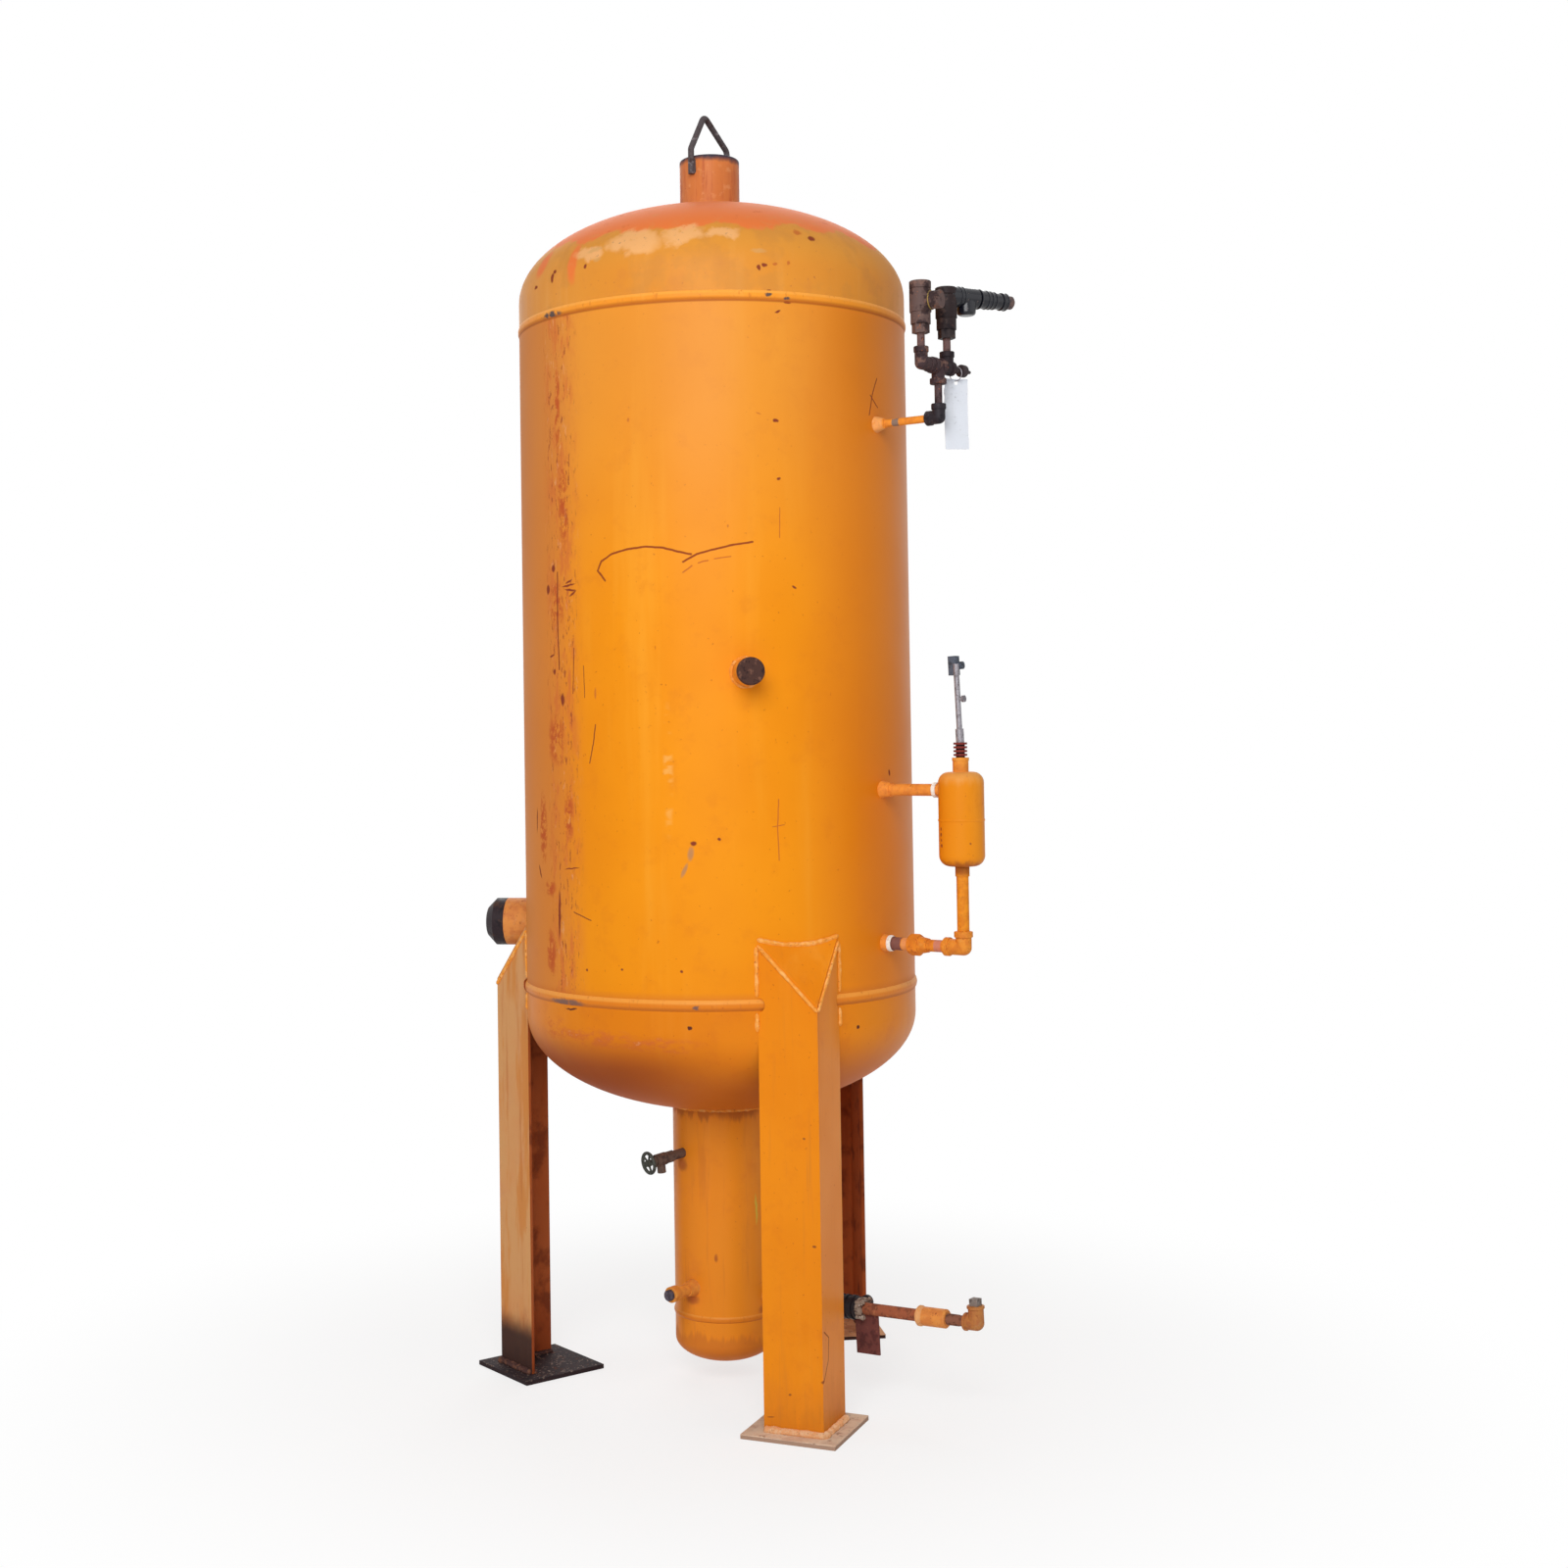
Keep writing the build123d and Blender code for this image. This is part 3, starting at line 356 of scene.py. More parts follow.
    def strokes(self, wall, radius, lines, edge=0.35, most=1.0):
        """A mask of narrow lines, each its points, as angles and heights, and half its width in mm."""
        nearest = None
        for points, half_width in lines:
            places = [Vector((math.radians(angle) * radius, z, 0)) for angle, z in points]
            for start, end in zip(places, places[1:]):
                way = end - start
                away = self.vector_math("SUBTRACT", wall, start)
                share = self.vector_math("DOT_PRODUCT", away, way / way.length_squared)
                share = self.math("MAXIMUM", self.math("MINIMUM", share, 1.0), 0.0)
                scaled = {0: way, "Scale": share}
                reached = self.add("ShaderNodeVectorMath", scaled, operation="SCALE").outputs[0]
                gap = self.vector_math("DISTANCE", away, reached)
                gap = self.math("MULTIPLY", gap, 1000 / half_width)
                nearest = gap if nearest is None else self.math("MINIMUM", nearest, gap)
        return self.between(nearest, 1.0, edge, most)

    def mark(self, wall, radius, marks, colour, roughness=0.7, height=0.0, edge=0.5, most=1.0):
        """Lay a colour, a roughness and a thickness in millimetres in oval marks."""
        self.lay(self.spots(wall, radius, marks, edge, most), colour, roughness, height)

    def done(self):
        """Join what has been laid to the shader."""
        for socket, value in (("Base Color", self.colour), ("Roughness", self.roughness)):
            if isinstance(value, bpy.types.NodeSocket):
                self.tree.links.new(value, self.shader.inputs[socket])
            else:
                self.shader.inputs[socket].default_value = value
        if self.height is not None:
            bump = self.add("ShaderNodeBump", {"Height": self.height, "Distance": 0.001})
            self.tree.links.new(bump.outputs["Normal"], self.shader.inputs["Normal"])
        return self.material


def make_studio():
    """A white surround, a pale floor that fades into it, and soft lamps."""
    scene = bpy.context.scene
    scene.view_settings.view_transform = "Standard"
    world = bpy.data.worlds.new("studio")
    scene.world = world
    world.use_nodes = True
    background = world.node_tree.nodes["Background"]
    background.inputs["Color"].default_value = (1.0, 1.0, 1.0, 1.0)
    strength = world.node_tree.nodes.new("ShaderNodeMapRange")
    strength.inputs["To Min"].default_value = WORLD_LIGHT
    world.node_tree.links.new(seen_directly(world.node_tree), strength.inputs["Value"])
    world.node_tree.links.new(strength.outputs["Result"], background.inputs["Strength"])

    mesh = bpy.data.meshes.new("studio_floor")
    shape = bmesh.new()
    bmesh.ops.create_circle(shape, cap_ends=True, radius=14.0, segments=96)
    shape.to_mesh(mesh)
    shape.free()
    floor = bpy.data.objects.new("studio_floor", mesh)
    bpy.context.scene.collection.objects.link(floor)
    mesh.materials.append(floor_finish())

    make_lamp("key_lamp", -28, 24, 5.4, 3.2, KEY_POWER)
    make_lamp("fill_lamp", 40, 18, 6.0, 4.0, FILL_POWER)
    make_lamp("left_lamp", -110, 20, 6.0, 4.0, SIDE_POWER)
    make_lamp("back_lamp", 160, 36, 6.0, 4.0, BACK_POWER)


def seen_directly(tree):
    """Whether a ray comes from the camera, a reflection or a view through glass, as one number."""
    path = tree.nodes.new("ShaderNodeLightPath")
    seen = path.outputs["Is Camera Ray"]
    for name in ("Is Glossy Ray", "Is Transmission Ray"):
        either = tree.nodes.new("ShaderNodeMath")
        either.operation = "MAXIMUM"
        tree.links.new(seen, either.inputs[0])
        tree.links.new(path.outputs[name], either.inputs[1])
        seen = either.outputs[0]
    return seen


def floor_finish():
    """Pale floor near the vessel, which keeps its shadow, and plain white further out."""
    floor = Finish("pale_floor", (250, 250, 250), 0.9)
    away = floor.vector_math("LENGTH", floor.place)
    white = floor.add("ShaderNodeEmission", {"Color": (1.0, 1.0, 1.0, 1.0), "Strength": 1.0}).outputs[0]
    clear = floor.math("MULTIPLY_ADD", floor.between(away, 0.5, 2.0), 0.3, 0.7)
    share = floor.both(clear, seen_directly(floor.tree))
    material = floor.done()
    blend = floor.add("ShaderNodeMixShader", {0: share, 1: floor.shader.outputs[0], 2: white})
    floor.tree.links.new(blend.outputs[0], floor.tree.nodes["Material Output"].inputs["Surface"])
    return material


make_camera()
make_studio()


# The finishes


def orange_enamel(name, colour=(238, 146, 16)):
    """Orange enamel bleached by the sun: clouds, pale runs, dust, chips and a little orange peel."""
    skin = Finish(name, colour, 0.36)
    red, green, blue = colour
    skin.lay(skin.between(skin.grain(2.2), 0.36, 0.68, 0.7), (red - 10, green - 13, blue - 8), 0.48)
    runs = skin.grain(1.0, 4.0, 0.6, skin.stretched((10, 10, 0.8)))
    skin.lay(skin.between(runs, 0.52, 0.74, 0.55), (red + 4, green + 14, blue + 28), 0.42)
    skin.lay(skin.between(skin.grain(14.0, 5.0, 0.65), 0.52, 0.72, 0.35), (red - 18, green - 22, blue + 4))
    skin.lay(skin.between(skin.grain(120.0, 2.0), 0.70, 0.76, 0.55), (red - 52, green - 66, blue + 4), 0.6)
    chips = skin.between(skin.grain(64.0, 4.0, 0.7), 0.745, 0.775)
    skin.lay(chips, (112, 60, 40), 0.75, -0.15)
    skin.lay(skin.grain(4.0), height=0.7)
    skin.lay(skin.grain(330.0, 2.0), height=0.05)
    return skin


def shell_finish():
    """The shell: a scuffed, streaked band down its left side, curved scrapes in front, small knocks."""
    skin = orange_enamel("shell_paint")
    wall = skin.wall(SHELL_RADIUS)
    calm_wall = skin.wall(SHELL_RADIUS, 0.0025)
    turn = skin.math("ARCTAN2", skin.axes()[1], skin.axes()[0])
    angle = skin.math("MULTIPLY", turn, math.degrees(1))

    # Colour fades upwards, deepens towards the right, partly as painted shade where the side turns from
    # the light, and turns dull and pinkish at the left edge, painted shade with a painted reflection
    skin.lay(skin.between(skin.axes()[2], 1.7, 2.4, 0.5), (216, 144, 66))
    skin.lay(skin.between(skin.towards(-20), 0.11, 0.34, 0.75), (218, 120, 22))
    skin.lay(skin.between(skin.towards(-185), 0.375, 0.440, 0.65), (202, 118, 54), 0.6)
    in_band = skin.between(skin.math("ABSOLUTE", skin.math("ADD", angle, 161)), 9.5, 3.0)
    mottle = skin.grain(1.0, 6.0, 0.68, skin.stretched((34, 34, 10)))
    skin.lay(skin.both(in_band, skin.between(mottle, 0.47, 0.60, 0.6)), SCUFF, 0.72)
    flecks = skin.grain(1.0, 6.0, 0.72, skin.stretched((110, 110, 36)))
    skin.lay(skin.both(in_band, skin.between(flecks, 0.56, 0.64, 0.8)), (152, 70, 42), 0.8, -0.1)
    pale = skin.grain(1.0, 5.0, 0.68, skin.stretched((70, 70, 24)))
    skin.lay(skin.both(in_band, skin.between(pale, 0.58, 0.68, 0.5)), (226, 166, 116), 0.6)

    rubbed = skin.between(skin.grain(42.0, 6.0, 0.7), 0.42, 0.56)
    smudges = [
        (-159.5, 2.03, 22, 130, 2), (-161.5, 2.24, 12, 120, 0), (-163, 1.80, 34, 70, 0),
        (-158.5, 1.33, 22, 66, 0), (-168, 1.166, 30, 24, 0), (-164, 1.50, 40, 70, 0),
        (-168.0, 1.02, 26, 66, 0), (-172, 1.30, 24, 100, 0),
    ]
    skin.lay(skin.both(rubbed, skin.spots(wall, SHELL_RADIUS, smudges, 0.0)), (190, 86, 38), 0.72)
    dark = [
        (-167.3, 1.838, 9, 13, 0), (-164.4, 1.884, 8, 10, 0), (-157.4, 1.842, 26, 3, 8),
        (-156.6, 1.832, 22, 3, -6), (-157.2, 1.851, 14, 3, 20), (-155.6, 1.824, 16, 3, 30),
        (-160.6, 1.588, 8, 17, 0), (-163.4, 1.108, 6, 66, -2), (-165.4, 1.688, 12, 3, 12),
        (-164.4, 1.652, 6, 8, 0), (-157.5, 1.213, 30, 2, 6), (-176.5, 1.315, 3, 34, -4),
        (-174.5, 1.20, 4, 20, 30), (-54.1, 1.414, 5, 9, 20), (-94.3, 2.186, 8, 5, 0),
        (-93.7, 2.060, 6, 4, 0), (-111.7, 1.280, 4, 4, 0), (-151.8, 0.992, 4, 4, 0),
        (-139.7, 0.997, 4, 3, 0), (-122.3, 0.996, 4, 4, 0), (-89.6, 1.824, 8, 3, -25),
        (-118.6, 1.272, 9, 6, 0), (-90.4, 2.446, 10, 4, 0), (-93.2, 2.425, 9, 3, 20),
    ]
    skin.mark(wall, SHELL_RADIUS, dark, (134, 58, 36), 0.8, -0.08)
    lines = [
        ([(-162.5, 1.872), (-162.8, 1.77), (-162.2, 1.655)], 2.8),
        ([(-147.8, 1.529), (-148.6, 1.49), (-150.1, 1.445)], 2.0),
        ([(-157, 1.115), (-150.3, 1.099)], 1.7), ([(-156.2, 1.60), (-155.6, 1.70)], 1.8),
        ([(-151.6, 1.59), (-151.9, 1.66)], 1.4), ([(-61.8, 2.215), (-60.2, 2.262), (-57.8, 2.30)], 2.2),
        ([(-61.2, 2.26), (-57.6, 2.235)], 2.0),
    ]
    skin.lay(skin.strokes(calm_wall, SHELL_RADIUS, lines), (130, 58, 36), 0.75, -0.1)
    left_arc = [
        (-143.8, 1.846), (-146.3, 1.868), (-145.0, 1.888), (-141.4, 1.903), (-136.8, 1.911),
        (-131.0, 1.915), (-126.0, 1.911), (-122.0, 1.902), (-118.4, 1.895),
    ]
    right_arc = [(-120.6, 1.879), (-116.8, 1.895), (-111.9, 1.905), (-106.8, 1.914), (-101.6, 1.920)]
    arcs = skin.strokes(calm_wall, SHELL_RADIUS, [(left_arc, 3.4), (right_arc, 3.2)])
    skin.lay(arcs, (146, 66, 28), 0.7, -0.15)
    faint = [
        ([(-120.6, 1.856), (-118.2, 1.870)], 2.6), ([(-116.4, 1.876), (-113.8, 1.881)], 2.4),
        ([(-112.0, 1.884), (-107.6, 1.889)], 2.0), ([(-93.7, 1.995), (-93.9, 1.93)], 1.6),
        ([(-95.3, 1.362), (-95.7, 1.30), (-95.4, 1.231)], 2.0), ([(-97.1, 1.303), (-93.8, 1.307)], 1.6),
    ]
    skin.lay(skin.strokes(calm_wall, SHELL_RADIUS, faint, 0.3, 0.85), (188, 94, 40), 0.7, -0.1)
    light = [
        (-135.6, 2.196, 4, 6, 0), (-108.1, 1.957, 3, 5, 0), (-99.2, 2.202, 9, 2, -20),
        (-147.5, 1.60, 4, 15, 0),
    ]
    skin.mark(wall, SHELL_RADIUS, light, (196, 102, 42), 0.7, -0.05, 0.3, 0.8)
    smear = [(-119.6, 1.248, 9, 20, -8), (-121.4, 1.212, 6, 22, -24)]
    skin.mark(calm_wall, SHELL_RADIUS, smear, (166, 124, 92), 0.6, 0.0, 0.0, 0.75)
    rungs = skin.between(skin.grain(1.0, 2.0, 0.5, skin.stretched((20, 20, 60))), 0.45, 0.6, 0.75)
    ladder = skin.spots(wall, SHELL_RADIUS, [(-125.3, 1.43, 14, 165, 0)], 0.0)
    skin.lay(skin.both(ladder, rungs), (238, 170, 84), 0.5)
    z = skin.axes()[2]
    skin.lay(skin.between(z, SHELL_BOTTOM + 0.030, SHELL_BOTTOM + 0.012, 0.5), (204, 112, 40), 0.6)
    # A painted shadow: a dark band on the shell just under the top girth weld's bead
    skin.lay(skin.between(z, SHELL_TOP - 0.0165, SHELL_TOP - 0.0125, 0.8), (166, 84, 24), 0.6)
    return skin


def top_head_finish():
    """The top head: red primer shows from the neck to a ragged edge, over scuffed, knocked enamel, and a
    painted sheen lies on its pale worn shoulder.
    """
    skin = orange_enamel("top_head_paint", (222, 145, 52))
    wall = skin.wall(SHELL_RADIUS, 0.010)
    z = skin.axes()[2]
    skin.lay(skin.between(z, TOP_FLANGE - 0.01, TOP_FLANGE + 0.07, 0.65), (218, 148, 58), 0.6)
    skin.lay(skin.between(skin.grain(9.0, 5.0, 0.6), 0.50, 0.64, 0.4), (196, 130, 60), 0.6)
    sag = skin.grain(1.0, 4.0, 0.6, skin.stretched((9, 9, 1.5)))
    edge = skin.math("MULTIPLY_ADD", sag, 0.11, z)
    tongues = [(-154.5, 2.565, 19, 62, 4), (-171, 2.585, 30, 40, 0)]
    primer = skin.between(edge, PRIMER_EDGE, PRIMER_EDGE + 0.010)
    primer = skin.either(primer, skin.spots(wall, SHELL_RADIUS, tongues, 0.4))
    skin.lay(primer, PRIMER, 0.55, -0.1)
    blotches = skin.grain(22.0, 5.0, 0.65)
    skin.lay(skin.both(primer, skin.between(blotches, 0.52, 0.70, 0.5)), (222, 136, 78), 0.65)
    skin.lay(skin.both(primer, skin.between(blotches, 0.42, 0.30, 0.5)), (206, 98, 44), 0.65)
    # Pale patches on the head's shoulder: worn, chalky paint with a painted sheen over it, and dark crumbs
    # of wear in them
    cloudy = skin.wall(SHELL_RADIUS, 0.06, 20.0)
    patches = [
        (-131, 2.617, 84, 34, -8), (-116, 2.624, 66, 28, 4), (-105, 2.630, 44, 20, 0),
        (-146, 2.606, 60, 20, -4),
    ]
    worn = skin.spots(cloudy, SHELL_RADIUS, patches, 0.45)
    sheen_and_wear = skin.between(skin.grain(30.0, 5.0, 0.7), 0.26, 0.44, 0.8)
    skin.lay(skin.both(worn, sheen_and_wear), (236, 176, 116), 0.62)
    crumbs = skin.between(skin.grain(95.0, 4.0, 0.7), 0.60, 0.68, 0.75)
    skin.lay(skin.both(worn, crumbs), (168, 124, 92), 0.8, -0.15)
    pale = [(-147, 2.585, 26, 8, 10), (-145, 2.560, 14, 6, 0), (-98, 2.560, 22, 7, 0)]
    skin.mark(wall, SHELL_RADIUS, pale, (206, 156, 96), 0.7, 0.0, 0.1, 0.6)
    rust = [
        (-172.2, 2.532, 9, 5, 10), (-162.8, 2.540, 7, 13, -6), (-162.0, 2.553, 8, 6, 0),
        (-149.0, 2.548, 5, 7, 0), (-98.2, 2.521, 5, 8, 10), (-96.6, 2.528, 8, 6, 0),
        (-95.4, 2.472, 6, 4, 0), (-80.5, 2.60, 12, 8, 10),
    ]
    skin.mark(wall, SHELL_RADIUS, rust, (138, 62, 38), 0.8, -0.08)
    light = [(-93.5, 2.531, 9, 4, 0), (-89.6, 2.535, 5, 6, 20), (-84.5, 2.612, 14, 9, 0)]
    skin.mark(wall, SHELL_RADIUS, light, (190, 96, 44), 0.7, -0.1, 0.3, 0.8)
    skin.lay(skin.between(z, NECK_BASE - 0.005, NECK_BASE, 0.8), (196, 104, 52), 0.6)
    return skin


def weld_finish(name, colour, seam, worn_marks=(), worn_colour=BARE_STEEL):
    """Paint over a weld: ripples across the bead, a painted highlight along its upper side, a painted
    shadow along its lower edge, and bare metal where it is worn.
    """
    skin = orange_enamel(name, colour)
    z = skin.axes()[2]
    # Painted highlight on the bead's upper side and painted shadow along its lower edge
    skin.lay(skin.between(z, seam + 0.001, seam + 0.007, 0.5), (250, 176, 80))
    skin.lay(skin.between(z, seam - 0.002, seam - 0.009, 0.8), (190, 104, 28), 0.55)
    ripple = skin.grain(1.0, 2.0, 0.5, skin.stretched((150, 150, 40)))
    skin.lay(ripple, height=0.5)
    skin.lay(skin.between(ripple, 0.58, 0.72, 0.5), (202, 112, 40), 0.6)
    if worn_marks:
        wall = skin.wall(SHELL_RADIUS, 0.012)
        worn = skin.spots(wall, SHELL_RADIUS, worn_marks, 0.4)
        skin.lay(skin.both(worn, skin.between(skin.grain(70.0), 0.34, 0.5)), worn_colour, 0.55, -0.2)
    return skin


def bottom_head_finish():
    """The bottom head: deeper orange, a worn reddish belt under the seam, and painted shade darkening it
    towards the bottom and on its left side.
    """
    skin = orange_enamel("bottom_head_paint", (226, 132, 20))
    wall = skin.wall(SHELL_RADIUS, 0.014)
    under_seam = [(-150, 0.846, 170, 26, 0), (-128, 0.838, 110, 22, 0), (-166, 0.86, 60, 34, 0)]
    belt = skin.spots(wall, SHELL_RADIUS, under_seam, 0.1)
    rubbed = skin.grain(1.0, 5.0, 0.7, skin.stretched((30, 30, 60)))
    skin.lay(skin.both(belt, skin.between(rubbed, 0.42, 0.60, 0.7)), (206, 102, 48), 0.7)
    skin.lay(skin.both(belt, skin.between(rubbed, 0.60, 0.68, 0.6)), (222, 158, 110), 0.7)
    rows = [(-158, 0.905, 24, 3, 4), (-120, 0.880, 5, 4, 0), (-100, 0.842, 6, 4, 0), (-70, 0.86, 6, 5, 0)]
    skin.mark(wall, SHELL_RADIUS, rows, DARK_RUST, 0.8, -0.2)
    z = skin.axes()[2]
    # Painted shade: darker towards the bottom, and darker still on the left side low down
    skin.lay(skin.between(z, 0.85, 0.70, 0.8), (190, 92, 18), 0.6)
    left = skin.between(skin.towards(-175), 0.16, 0.38)
    skin.lay(skin.both(left, skin.between(z, 0.87, 0.76, 0.75)), (140, 58, 20), 0.65)
    return skin


def neck_finish():
    """The lifting neck: reddish enamel streaked down its side, and a rim scorched black."""
    skin = orange_enamel("neck_paint", (214, 126, 66))
    z = skin.axes()[2]
    streaks = skin.grain(1.0, 4.0, 0.65, skin.stretched((60, 60, 7)))
    skin.lay(skin.between(streaks, 0.48, 0.70, 0.7), (186, 92, 54), 0.6)
    skin.lay(skin.between(streaks, 0.66, 0.74, 0.6), (120, 66, 54), 0.7)
    pale = skin.between(skin.grain(46.0, 4.0), 0.56, 0.70, 0.5)
    skin.lay(pale, (226, 156, 100), 0.6)
    burnt = skin.math("MULTIPLY_ADD", skin.grain(38.0, 4.0), 0.022, z)
    skin.lay(skin.between(burnt, NECK_TOP - 0.008, NECK_TOP + 0.003, 0.85), (116, 74, 68), 0.6)
    skin.lay(skin.between(burnt, NECK_TOP, NECK_TOP + 0.009), (62, 54, 66), 0.5, 0.1)
    skin.lay(skin.between(z, NECK_BASE + 0.020, NECK_BASE + 0.008, 0.6), (232, 160, 92), 0.6)
    return skin


def leg_finish(name, colour, tan=0.0, foot_rust=0.4, runs_share=1.0, scorch=0.0):
    """A leg: enamel with brown runs down it, knocks, and rust or scorching that climbs from the foot."""
    skin = orange_enamel(name, colour)
    z = skin.axes()[2]
    if tan:
        skin.lay(skin.between(skin.grain(5.0, 4.0), 0.25, 0.60, tan), (212, 158, 102), 0.6)
        drawn = skin.grain(1.0, 4.0, 0.6, skin.stretched((22, 22, 4)))
        skin.lay(skin.between(drawn, 0.48, 0.62, 0.8), (206, 130, 60), 0.6)
    runs = skin.grain(1.0, 5.0, 0.65, skin.stretched((75, 75, 3.0)))
    skin.lay(skin.between(runs, 0.54, 0.70, 0.55 * runs_share), (188, 106, 52), 0.6)
    skin.lay(skin.between(runs, 0.67, 0.74, 0.5 * runs_share), (132, 76, 50), 0.7, -0.05)
    climbing = skin.grain(1.0, 5.0, 0.65, skin.stretched((45, 45, 12)))
    foot = skin.math("MULTIPLY_ADD", climbing, -0.20, z)
    skin.lay(skin.between(foot, 0.06, -0.03, foot_rust), (164, 88, 52), 0.75)
    skin.lay(skin.between(foot, -0.02, -0.085, foot_rust), (96, 50, 40), 0.85, 0.15)
    if scorch:
        burnt = skin.math("MULTIPLY_ADD", skin.grain(9.0, 4.0), -0.05, z)
        skin.lay(skin.between(burnt, 0.125, 0.055, scorch), (54, 36, 34), 0.8, 0.1)
    knocks = skin.between(skin.grain(36.0, 5.0, 0.7), 0.70, 0.74, 0.85)
    skin.lay(knocks, (110, 58, 42), 0.8, -0.2)
    return skin


def front_leg_finish():
    """The front leg: almost clean, with a few knocks and a run of old paint beside its heel."""
    skin = leg_finish("front_leg_paint", (234, 138, 18), foot_rust=0.12, runs_share=0.3)
    wall = skin.wall(SHELL_RADIUS, 0.002)
    run = [([(-89.0, 0.231), (-86.8, 0.212), (-87.2, 0.165), (-89.4, 0.128)], 1.8)]
    knocks = [
        (-89.7, 0.128, 5, 4, 0), (-91.0, 0.413, 3.5, 3.5, 0), (-96.1, 0.094, 3, 3, 0),
        (-100.4, 0.042, 9, 1.6, 6), (-92.6, 0.640, 2.5, 3, 0),
    ]
    old_run = skin.strokes(wall, SHELL_RADIUS, run)
    marks = skin.either(old_run, skin.spots(wall, SHELL_RADIUS, knocks, 0.4))
    skin.lay(marks, (150, 78, 34), 0.75, -0.1)
    return skin


def shade_and_rust_inside(skin, angle):
    """Brown on the faces that look towards the vessel's axis, for a leg at that angle: painted shade under
    the vessel, with darker rust in patches over it.
    """
    facing = skin.tree.nodes.new("ShaderNodeNewGeometry").outputs["True Normal"]
    inward = skin.vector_math("DOT_PRODUCT", facing, level_direction(angle))
    inner = skin.between(inward, -0.4, -0.6, 0.9)
    # Painted shade on the inward faces, laid as brown, with rust patches within it
    skin.lay(inner, (156, 74, 34), 0.8)
    deep = skin.between(skin.grain(18.0, 5.0), 0.48, 0.66, 0.8)
    skin.lay(skin.both(inner, deep), (104, 48, 28), 0.9, 0.1)
    return skin


def plate_finish(name, face, stain, dirt, edge_colour):
    """A base plate: its worn top in two tones, dirt in patches, and its edges in another colour."""
    skin = Finish(name, face, 0.7)
    skin.lay(skin.between(skin.grain(16.0, 5.0, 0.6), 0.42, 0.62, 0.8), stain)
    skin.lay(skin.between(skin.grain(48.0, 5.0, 0.7), 0.56, 0.68, 0.8), dirt, 0.85, -0.2)
    skin.lay(skin.between(skin.grain(150.0, 3.0), 0.58, 0.70, 0.4), (220, 196, 176), 0.6, 0.1)
    lip = skin.math("MULTIPLY_ADD", skin.grain(60.0), 0.003, skin.axes()[2])
    skin.lay(skin.between(lip, PLATE_TOP + 0.0008, PLATE_TOP - 0.0008), edge_colour, 0.8, 0.1)
    return skin


def boot_finish():
    """The boot and its cap: runs down them, rust where the small pipes join, and darker brown in ragged
    runs at the top.
    """
    skin = orange_enamel("boot_paint", (234, 140, 36))
    z = skin.axes()[2]
    wall = skin.wall(BOOT_RADIUS, 0.008)
    runs = skin.grain(1.0, 4.0, 0.6, skin.stretched((40, 40, 3)))
    skin.lay(skin.between(runs, 0.56, 0.72, 0.5), (206, 114, 40), 0.55)
    skin.mark(wall, BOOT_RADIUS, [(-71.6, 0.405, 4, 44, 2)], (206, 190, 70), 0.5, 0.0, 0.2, 0.8)
    rust = [
        (ARM_ANGLE, 0.172, 30, 18, 0), (-151, 0.20, 26, 16, 0), (GAUGE_ANGLE, 0.506, 24, 20, 0),
        (-120, 0.30, 6, 12, 0),
    ]
    skin.mark(wall, BOOT_RADIUS, rust, (168, 84, 42), 0.75, -0.1, 0.1, 0.8)
    drawn = skin.grain(1.0, 4.0, 0.6, skin.stretched((50, 50, 6)))
    drips = skin.math("MULTIPLY_ADD", drawn, 0.09, z)
    skin.lay(skin.between(drips, BOOT_TOP + 0.018, BOOT_TOP + 0.035, 0.7), (176, 92, 40), 0.7)
    skin.lay(skin.between(drips, BOOT_WELD + 0.013, BOOT_WELD - 0.005, 0.6), (198, 108, 40), 0.65)
    return skin


def fitting_paint(name, colour, bands=(), rust=0.5):
    """Enamel on a small fitting: dull and chipped, with bands of other colours along the arm.

    Each band is its start and end out from the vessel's axis, its colour and how much it covers.
    """
    skin = Finish(name, colour, 0.5)
    red, green, blue = colour
    skin.lay(skin.between(skin.grain(60.0, 4.0), 0.40, 0.62, 0.7), (red - 20, green - 24, blue - 6), 0.6)
    paler = (red - 4, green + 12, blue + 22)
    skin.lay(skin.between(skin.grain(34.0, 5.0, 0.7), 0.56, 0.66, 0.6), paler, 0.6)
    out = skin.towards(ARM_ANGLE)
    wavy = skin.math("MULTIPLY_ADD", skin.grain(110.0), 0.004, out)
    for start, end, tone, most in bands:
        begun = skin.between(wavy, start + 0.001, start + 0.003)
        inside = skin.both(begun, skin.between(wavy, end + 0.003, end + 0.001))
        skin.lay(skin.both(inside, skin.between(skin.grain(90.0, 4.0, 0.7), 0.30, 0.42, most)), tone, 0.7)
    skin.lay(skin.between(skin.grain(85.0, 5.0, 0.7), 0.60, 0.67, rust), (146, 76, 44), 0.8, -0.15)
    skin.lay(skin.between(skin.grain(150.0, 4.0, 0.7), 0.66, 0.72, rust), (84, 50, 40), 0.85, -0.2)
    skin.lay(skin.grain(240.0, 3.0), height=0.15)
    return skin


def iron(name, colour, tones, roughness=0.55, metallic=0.0, pitted=0.35):
    """Bare or old painted iron: its own colour, then patches of other tones, over a pitted cast skin.

    Each tone is its colour, its grain, how high the noise has to be for it and how much it covers.
    """
    skin = Finish(name, colour, roughness, metallic)
    for tone, scale, level, most in tones:
        patches = skin.grain(scale, 5.0, 0.68)
        skin.lay(skin.between(patches, level, level + 0.09, most), tone, min(0.9, roughness + 0.2))
    skin.lay(skin.grain(210.0, 4.0, 0.65), height=pitted)
    skin.lay(skin.between(skin.grain(75.0, 3.0), 0.62, 0.70), height=-pitted)
    return skin


